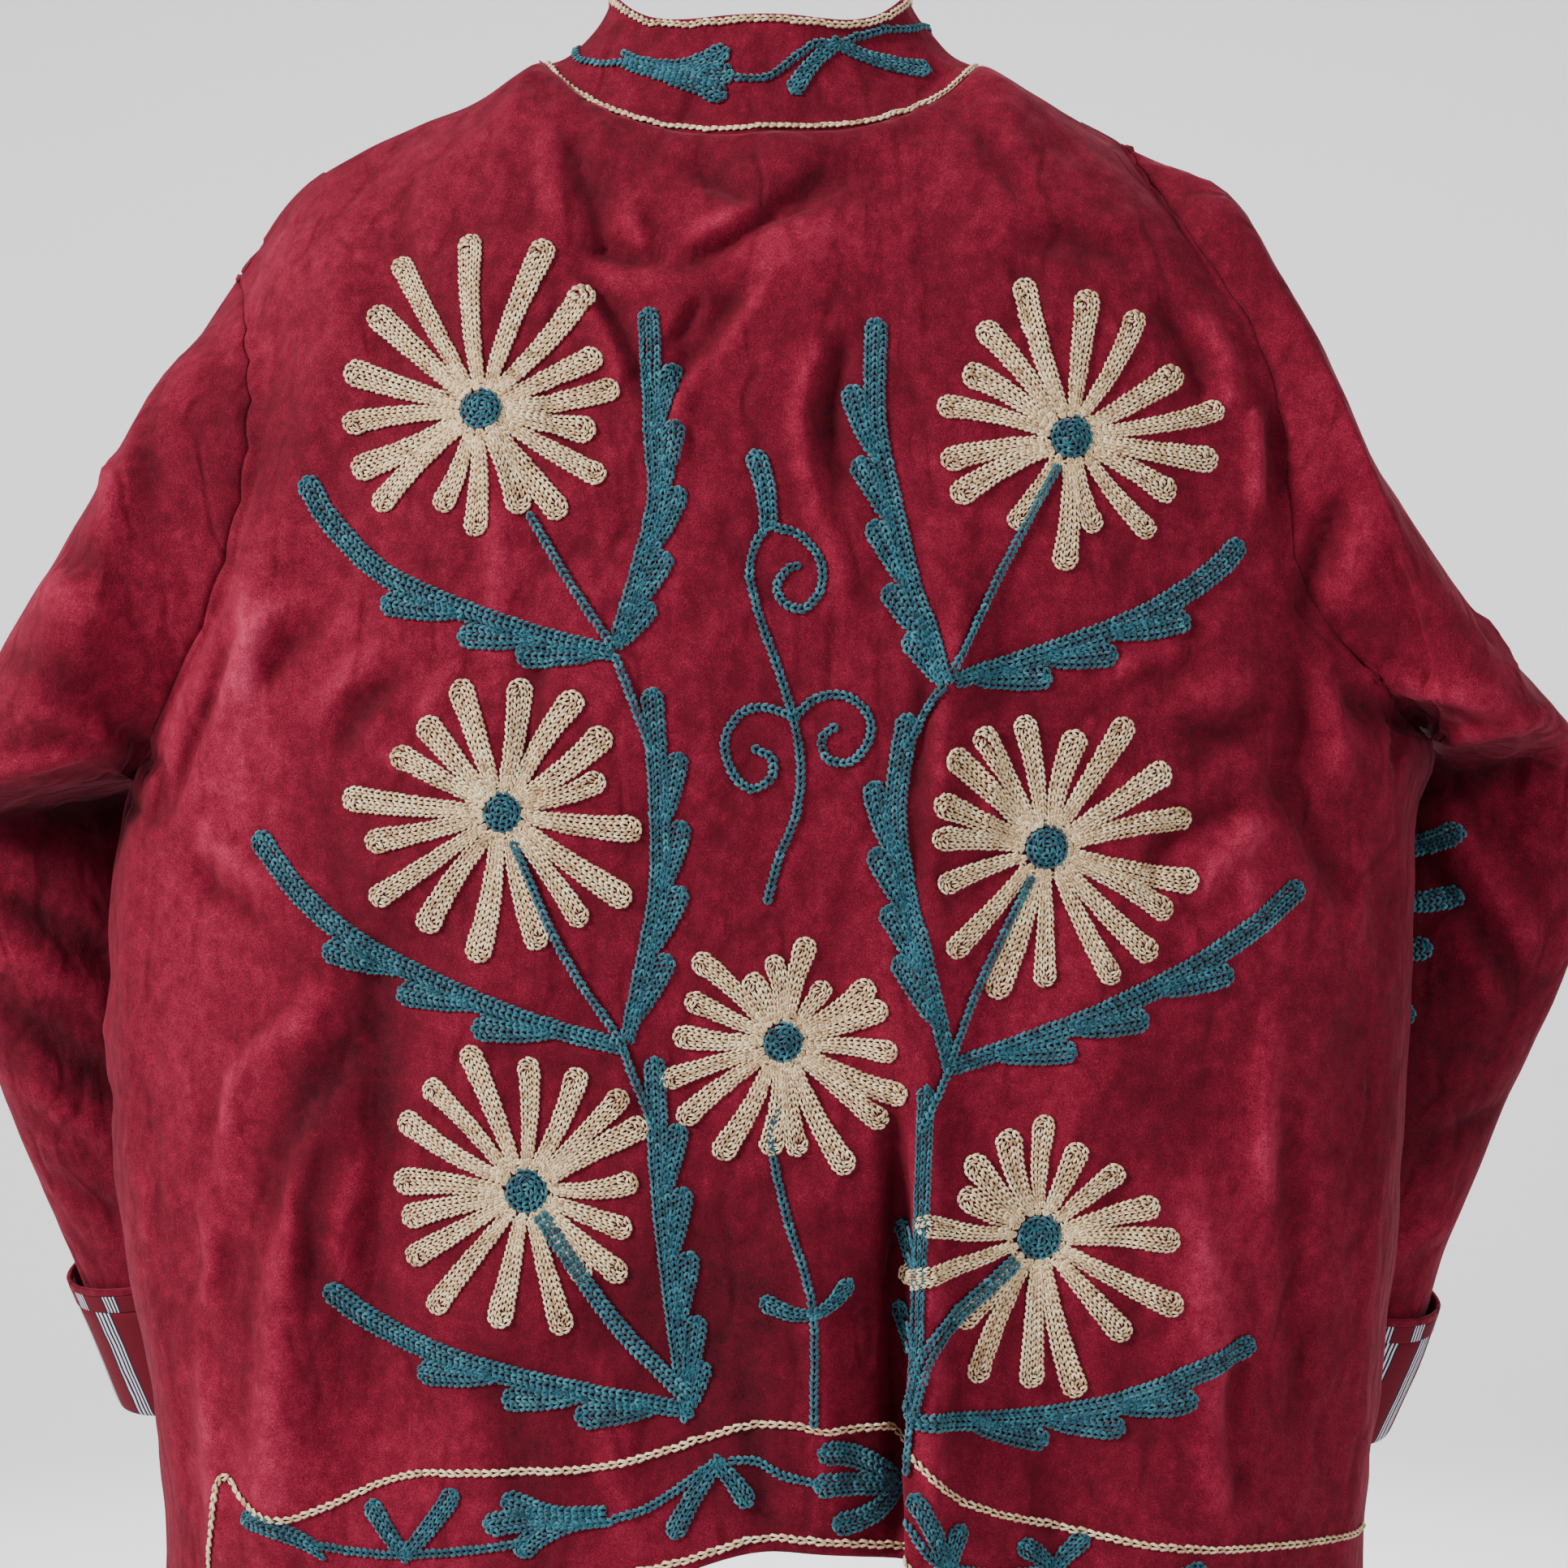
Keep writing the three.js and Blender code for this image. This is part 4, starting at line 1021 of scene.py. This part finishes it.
# ---------------------------------------------------------------------------------------------
# Border at the hem: a teal vine of paired leaves and three-fingered buds between two cream lines.
# The upper line turns down beside the slit of the left seam, and the lower one keeps to the hem.
BORDER_PITCH = 4.0 * MM
BORDER_BREADTH = 0.95
ABOVE_HEM = 5.5                 # from the hem up to the lower line
FRONT_LINES = (ABOVE_HEM, 52)   # from the hem up to both lines on the fronts
HEM_STEP = 3                    # between the places across at which the hem is found
HEM_ENDS = (240, -262)          # of the back's lower line
FRONT_ENDS = (6, 262)           # of the fronts' lines, from the middle
HEM_SEARCH = np.arange(-760, -600, 1.0)     # heights at which the lowest cloth is looked for
HEM_LINE = [
    (250, -716), (248, -690), (244, -661), (241, -636), (236, -631), (229, -638), (220, -644),
    (208, -646), (190, -640), (163, -628), (144, -623), (110, -621), (70, -618), (43, -612),
    (25, -606), (7, -601), (-12, -600), (-29, -603), (-54, -603), (-63, -609), (-75, -621),
    (-86, -631), (-107, -640), (-128, -646), (-162, -653), (-205, -659), (-250, -662), (-290, -664),
]
VINE = [
    # points of each stem
    [(196, -657), (175, -659), (154, -659), (147, -658), (131, -656), (103, -651)],
    [(63, -640), (49, -636), (37, -629), (25, -620), (18, -616)],
    [(13, -615), (1, -616), (-11, -622), (-23, -625)],
    [(-63, -639), (-70, -650), (-78, -658), (-100, -664), (-128, -666), (-160, -672)],
]
LEAVES = [
    # from the joint to the tip, bow
    ((192, -660), (229, -646), 2), ((154, -659), (170, -636), -1), ((154, -659), (131, -629), 1),
    ((18, -616), (38, -649), 1), ((18, -616), (4, -636), -1), ((-80, -660), (-65, -627), 2),
    ((-82, -660), (-88, -641), -1), ((-128, -666), (-112, -652), 1), ((-128, -666), (-144, -650), -1),
    ((232, -690), (214, -672), 2), ((232, -690), (216, -704), -2),
    ((-196, -680), (-180, -668), 1), ((-196, -680), (-184, -698), -1),
]
BUDS = [
    # base, tips of the fingers with their bows
    ((66, -639), [((112, -631), -4), ((121, -644), 1), ((105, -657), 5)]),
    ((-60, -629), [((-25, -612), 5), ((-22, -626), 1), ((-30, -643), -5)]),
    ((-160, -672), [((-196, -664), 4), ((-204, -678), 0), ((-192, -690), -4)]),
    ((232, -690), [((196, -684), 3), ((190, -696), 0), ((200, -708), -3)]),
]
LEAF_BREADTH = 9.0
BUD_BREADTH = 10.5


def vine_rows(stems, leaves, buds, leaf_root):
    """Rows of a border's vine: its stems, its leaves and its three-fingered buds."""
    rows = [row for points in stems for row in stem(points)]
    for joint, tip, bow in leaves:
        rows += finger(bowed(joint, tip, bow), LEAF_BREADTH, 3, root=leaf_root)
    for base, fingers in buds:
        for tip, bow in fingers:
            rows += finger(bowed(base, tip, bow), BUD_BREADTH, 3, root=0.75)
    return rows


def hem_line(ground, across, above):
    """Points a height above the lowest cloth at each place across, all in mm."""
    found = []
    for x in across:
        for z in HEM_SEARCH:
            if ground.hull.ray_cast(*ground.look(x * MM, z * MM))[0] is not None:
                found.append((x, z + above))
                break
    return np.array(found)


stitch("hem_vine", back_ground, vine_rows(VINE, LEAVES, BUDS, 0.55), teal, 150)
low_line = hem_line(back_ground, np.arange(*HEM_ENDS, -HEM_STEP), ABOVE_HEM)
rows = [(line, BORDER_BREADTH) for line in (smooth_line(HEM_LINE, DRAWN_STEP), low_line)]
stitch("hem_lines", back_ground, rows, cream, 151, BORDER_PITCH)
for side, far in (("left", 1), ("right", -1)):
    front_ground = Ground(panels[f"front_{side}"], VIEWS["front"])
    across = far * np.arange(*FRONT_ENDS, HEM_STEP)
    rows = [(hem_line(front_ground, across, above), BORDER_BREADTH) for above in FRONT_LINES]
    stitch(f"hem_lines_{side}", front_ground, rows, cream, 152 + far, BORDER_PITCH)

# ---------------------------------------------------------------------------------------------
# Band on the collar: the same vine between two cream lines that run all round. Its places are
# drawn on the collar as cut, u round it from the middle of the back and v up from the seam.
COLLAR_MIDDLE = (0, -8 * MM)
COLLAR_RADIUS = 75 * MM
COLLAR_HEIGHT = 58 * MM
COLLAR_TURNS = np.radians(np.arange(-174, 175, 3))  # where its foot and top are looked for
COLLAR_LEVELS = np.arange(-80, 60) * MM
COLLAR_FROM = 0.3               # from its middle out to where a ray starts
collar_hull = BVHTree.FromObject(panels["collar"], bpy.context.evaluated_depsgraph_get())


def collar_ray(turn, up):
    """A level ray from outside the collar towards its middle."""
    way = Vector((math.sin(turn), math.cos(turn), 0))
    return Vector((*COLLAR_MIDDLE, up)) + way * COLLAR_FROM, -way


COLLAR_EDGES = []               # turn, foot and top of the collar
for turn in COLLAR_TURNS:
    levels = [up for up in COLLAR_LEVELS
              if collar_hull.ray_cast(*collar_ray(turn, up), COLLAR_FROM)[0] is not None]
    if levels:
        COLLAR_EDGES.append((turn, levels[0], levels[-1]))
COLLAR_EDGES = np.array(COLLAR_EDGES)


def collar_look(u, v):
    """The ray that finds the collar at a place on its cut."""
    turn = u / COLLAR_RADIUS
    foot, top = (np.interp(turn, COLLAR_EDGES[:, 0], COLLAR_EDGES[:, k]) for k in (1, 2))
    return collar_ray(turn, foot + (top - foot) * v / COLLAR_HEIGHT)


collar_ground = Ground(panels["collar"], collar_look)
COLLAR_END = 222                # round the collar, to where the cream lines end
COLLAR_LINES = (3.6, 55.6)
COLLAR_PITCH = 3.3 * MM
rows = [(np.array([(COLLAR_END, v), (-COLLAR_END, v)]), BORDER_BREADTH) for v in COLLAR_LINES]
stitch("collar_lines", collar_ground, rows, cream, 160, COLLAR_PITCH)
COLLAR_VINE = [
    [(118, 24), (97, 14), (84, 20), (70, 31)],
    [(14, 28), (-5, 28), (-22, 39), (-33, 45), (-45, 46), (-58, 49), (-72, 49), (-92, 39),
     (-112, 30)],
]
COLLAR_LEAVES = [
    ((-45, 46), (-17, 20), 2), ((-45, 46), (-86, 15), -2),
    ((118, 24), (132, 46), 2), ((118, 24), (140, 12), -2),
]
COLLAR_BUDS = [
    ((72, 31), [((17, 43), 4), ((13, 30), 0), ((17, 18), -4)]),
    ((-112, 30), [((-160, 43), -4), ((-166, 30), 0), ((-160, 16), 4)]),
    ((150, 28), [((196, 43), -4), ((202, 30), 0), ((196, 16), 4)]),
]
rows = vine_rows(COLLAR_VINE, COLLAR_LEAVES, COLLAR_BUDS, 0.5)
stitch("collar_vine", collar_ground, rows, teal, 161)

# ---------------------------------------------------------------------------------------------
# Spray on the right forearm, on the side towards the body: four teal fingers of three rows each
# that stand out from one stem.
SLEEVE_FINGER = 11.5            # breadth
SLEEVE_FINGERS = [((-297, -356), (-331, -344)), ((-295, -379), (-333, -375)),
                  ((-293, -402), (-318, -399)), ((-291, -432), (-310, -430))]
sleeve_ground = Ground(panels["sleeve_right"], VIEWS["back"])
rows = stem([(-296, -340), (-293, -380), (-290, -450)])
for base, tip in SLEEVE_FINGERS:
    rows += finger(bowed(base, tip, 2), SLEEVE_FINGER, 3, root=0.6)
stitch("sleeve_spray", sleeve_ground, rows, teal, 170)

# ---------------------------------------------------------------------------------------------
# Facings turned back at the wrists: striped cotton cuffs, the turned hem of the facing whose
# stripes don't meet the cuff's, and the velvet lip above it.
STRIPES = [
    # width in mm, colour
    (11.5, "red"), (1.0, "navy"), (0.9, "white"), (1.0, "navy"), (1.1, "white"), (1.0, "navy"),
    (1.1, "white"), (1.0, "navy"), (0.9, "white"), (1.0, "navy"),
]
STRIPE_REPEAT = sum(width for width, _ in STRIPES) * MM
STRIPE_COLOURS = {
    "red": (0.115, 0.0008, 0.010),
    "navy": (0.008, 0.007, 0.020),
    "white": (0.66, 0.60, 0.70),
}


def facing_material():
    """Striped cotton. The stripes run along the sleeve, so they follow the map's first axis."""
    material, tree, shader = new_material("striped_cotton", {
        "Roughness": 0.85, "Specular IOR Level": 0.2, "Sheen Weight": 0.04})
    cloth = add_node(tree, "ShaderNodeUVMap", uv_map="cloth").outputs["UV"]
    round_it = add_node(tree, "ShaderNodeSeparateXYZ", {"Vector": cloth}).outputs["X"]
    swayed = weigh(tree, [(noise(tree, cloth, 60.0, 1.0, 0.5, 0.0), 0.0012)], round_it)
    repeats = weigh(tree, [(swayed, 1 / STRIPE_REPEAT)])
    share = add_node(tree, "ShaderNodeMath", {0: repeats}, operation="FRACT")
    stops, place = [], 0.0
    for width, colour in STRIPES:
        stops.append((place, STRIPE_COLOURS[colour]))
        place += width * MM / STRIPE_REPEAT
    colour = ramp(tree, share.outputs["Value"], stops, "CONSTANT")
    yarns = lay_fibres(tree, cloth, 1400.0, 0.0001)
    faded = add_node(tree, "ShaderNodeMapRange", {
        "Value": yarns.outputs["Streaks"], "From Min": 0.2, "From Max": 0.8, "To Min": 0.78,
        "To Max": 1.2})
    worn = add_node(tree, "ShaderNodeVectorMath", {0: colour}, operation="SCALE")
    tree.links.new(faded.outputs["Result"], worn.inputs["Scale"])
    tree.links.new(worn.outputs["Vector"], shader.inputs["Base Color"])
    tree.links.new(yarns.outputs["Normal"], shader.inputs["Normal"])
    return material


def rims_of(sheet):
    """The places of a tube's lower and of its upper rim."""
    form = bmesh.new()
    form.from_mesh(sheet.data)
    unseen = {vert for vert in form.verts if vert.is_boundary}
    rims = []
    while unseen:
        rim = [unseen.pop()]
        for vert in rim:
            near = {edge.other_vert(vert) for edge in vert.link_edges if edge.is_boundary} & unseen
            unseen -= near
            rim.extend(near)
        rims.append(np.array([vert.co for vert in rim]))
    form.free()
    rims.sort(key=lambda rim: rim[:, 2].mean())
    return rims[0], rims[-1]


def map_round(obj, rims, slip):
    """Gives a tube a map of its cloth: metres round it, in whole repeats, and metres along it."""
    mesh = obj.data
    low, high = rims
    length = np.linalg.norm(high.mean(axis=0) - low.mean(axis=0))
    along = (high.mean(axis=0) - low.mean(axis=0)) / length
    across = np.cross(along, (0, 1, 0))
    across /= np.linalg.norm(across)
    forth = np.cross(along, across)

    def flatten(places):
        return np.stack([places @ across, places @ forth], axis=1)

    loop = flatten(low - low.mean(axis=0))
    loop = loop[np.argsort(np.arctan2(loop[:, 1], loop[:, 0]))]
    growth = (np.linalg.norm(flatten(high - high.mean(axis=0)), axis=1).mean()
              / np.linalg.norm(loop, axis=1).mean())
    loop = np.vstack([loop, loop[:1]])
    sides = np.diff(loop, axis=0)
    widths = np.linalg.norm(sides, axis=1)
    starts = np.concatenate([[0], np.cumsum(widths)])
    spots = read_vectors(mesh.vertices, "co", len(mesh.vertices)) - low.mean(axis=0)
    heights = spots @ along
    points = flatten(spots) / (1 + (growth - 1) * heights / length)[:, None]
    offsets = points[:, None, :] - loop[None, :-1, :]
    shares = np.clip((offsets * sides).sum(axis=2) / widths ** 2, 0, 1)
    nearest = np.linalg.norm(offsets - shares[..., None] * sides, axis=2).argmin(axis=1)
    whole = round(starts[-1] / STRIPE_REPEAT) * STRIPE_REPEAT
    round_it = starts[nearest] + shares[np.arange(len(spots)), nearest] * widths[nearest]
    round_it *= whole / starts[-1]
    layer = mesh.uv_layers.new(name="cloth")
    for face in mesh.polygons:
        values = [round_it[index] for index in face.vertices]
        wraps = max(values) - min(values) > whole / 2
        for loop_index, index, value in zip(face.loop_indices, face.vertices, values):
            turned = value + (whole if wraps and value < whole / 2 else 0)
            layer.data[loop_index].uv = (turned + slip * MM, heights[index])


facing = facing_material()
CUFF_PARTS = [
    # part, material, slot, slip of its stripes, and its width, length and area laid flat. The lip's
    # length is the shortest that a sheet may have: about 4 mm of it show.
    ("cuff", facing, "facing", 5, 0.33, 0.065, 0.0205),
    ("cuff_band", facing, "facing", 11, 0.33, 0.010, 0.0031),
    ("cuff_edge", velvet, "velvet", 0, 0.33, 0.010, 0.0016),
]
for side in ("left", "right"):
    for part, material, slot, slip, width, length, area in CUFF_PARTS:
        tube = outer_side(f"{part}_{side}", 0)
        rims = rims_of(tube)
        smooth_through(tube)
        apply_modifier(tube, "SOLIDIFY", thickness=WALL, offset=-1)
        map_round(tube, rims, slip)
        tube.name = f"{part}_{side}_cloth"
        tube.data.materials.append(material)
        shade_smooth(tube)
        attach(tube, "root")
        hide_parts(f"{part}_{side}")

# ---------------------------------------------------------------------------------------------
# Studio: a round floor of pale paper that curves up into its wall, soft lights over the wearer's
# left shoulder and around, and the camera behind the back.
CAMERA_PLACE = (-0.01085, 1.505, -0.3234)
LENS = 74.5
FLOOR_Z = -1.4
STAGE_RADIUS = 6.0
STAGE_HEIGHT = 4.2
COVE = 2.0                      # radius of the curve up into the wall


def studio():
    """A round floor that curves up into a wall all round, so that no horizon shows."""
    radius = STAGE_RADIUS - COVE
    deselect()
    bpy.ops.mesh.primitive_circle_add(vertices=96, radius=radius, fill_type="NGON",
                                      location=(0, 0, FLOOR_Z))
    floor = bpy.context.object
    floor.name = "floor"
    form = bmesh.new()
    form.from_mesh(floor.data)
    rim = [edge for edge in form.edges if edge.is_boundary]
    steps = [(radius + COVE * math.sin(a), COVE * (1 - math.cos(a)))
             for a in np.linspace(0, math.pi / 2, 10)[1:]] + [(STAGE_RADIUS, STAGE_HEIGHT)]
    for out, up in steps:
        made = bmesh.ops.extrude_edge_only(form, edges=rim)["geom"]
        rim = [item for item in made if isinstance(item, bmesh.types.BMEdge)]
        for vert in {vert for edge in rim for vert in edge.verts}:
            flat = Vector((vert.co.x, vert.co.y, 0)).normalized() * out
            vert.co = Vector((flat.x, flat.y, up))
    bmesh.ops.recalc_face_normals(form, faces=form.faces)
    form.to_mesh(floor.data)
    form.free()
    shade_smooth(floor)
    paper, _, _ = new_material("studio_paper", {
        "Base Color": (0.8, 0.8, 0.8, 1), "Roughness": 1.0, "Specular IOR Level": 0.0})
    floor.data.materials.append(paper)


def soft_light(name, place, aim, size, power):
    """A square soft box that looks at a point."""
    lamp = bpy.data.lights.new(name, "AREA")
    lamp.size = size
    lamp.energy = power
    obj = bpy.data.objects.new(name, lamp)
    obj.location = place
    obj.rotation_euler = (Vector(aim) - Vector(place)).to_track_quat("-Z", "Y").to_euler()
    bpy.context.scene.collection.objects.link(obj)


studio()
MIDDLE = (0, 0, -0.33)
soft_light("key", (2.5, 1.5, 1.1), MIDDLE, 0.7, 152)
soft_light("fill", (-2.4, 2.0, 0.5), MIDDLE, 1.4, 36)
soft_light("top", (0, 0.2, 2.3), MIDDLE, 2.0, 10)
soft_light("front", (-1.2, -2.6, 1.0), MIDDLE, 2.0, 24)
soft_light("backdrop", (0, -1.8, 0.3), (0, -6, -0.3), 3.0, 205)
world = bpy.data.worlds.new("studio")
world.use_nodes = True
sky = world.node_tree.nodes["Background"]
sky.inputs["Color"].default_value = (0.9, 0.92, 0.95, 1)
sky.inputs["Strength"].default_value = 0.3
bpy.context.scene.world = world

camera = bpy.data.cameras.new("camera")
camera.lens = LENS
view = bpy.data.objects.new("camera", camera)
view.location = CAMERA_PLACE
view.rotation_euler = (math.radians(90), 0, math.radians(180))
bpy.context.scene.collection.objects.link(view)
bpy.context.scene.camera = view
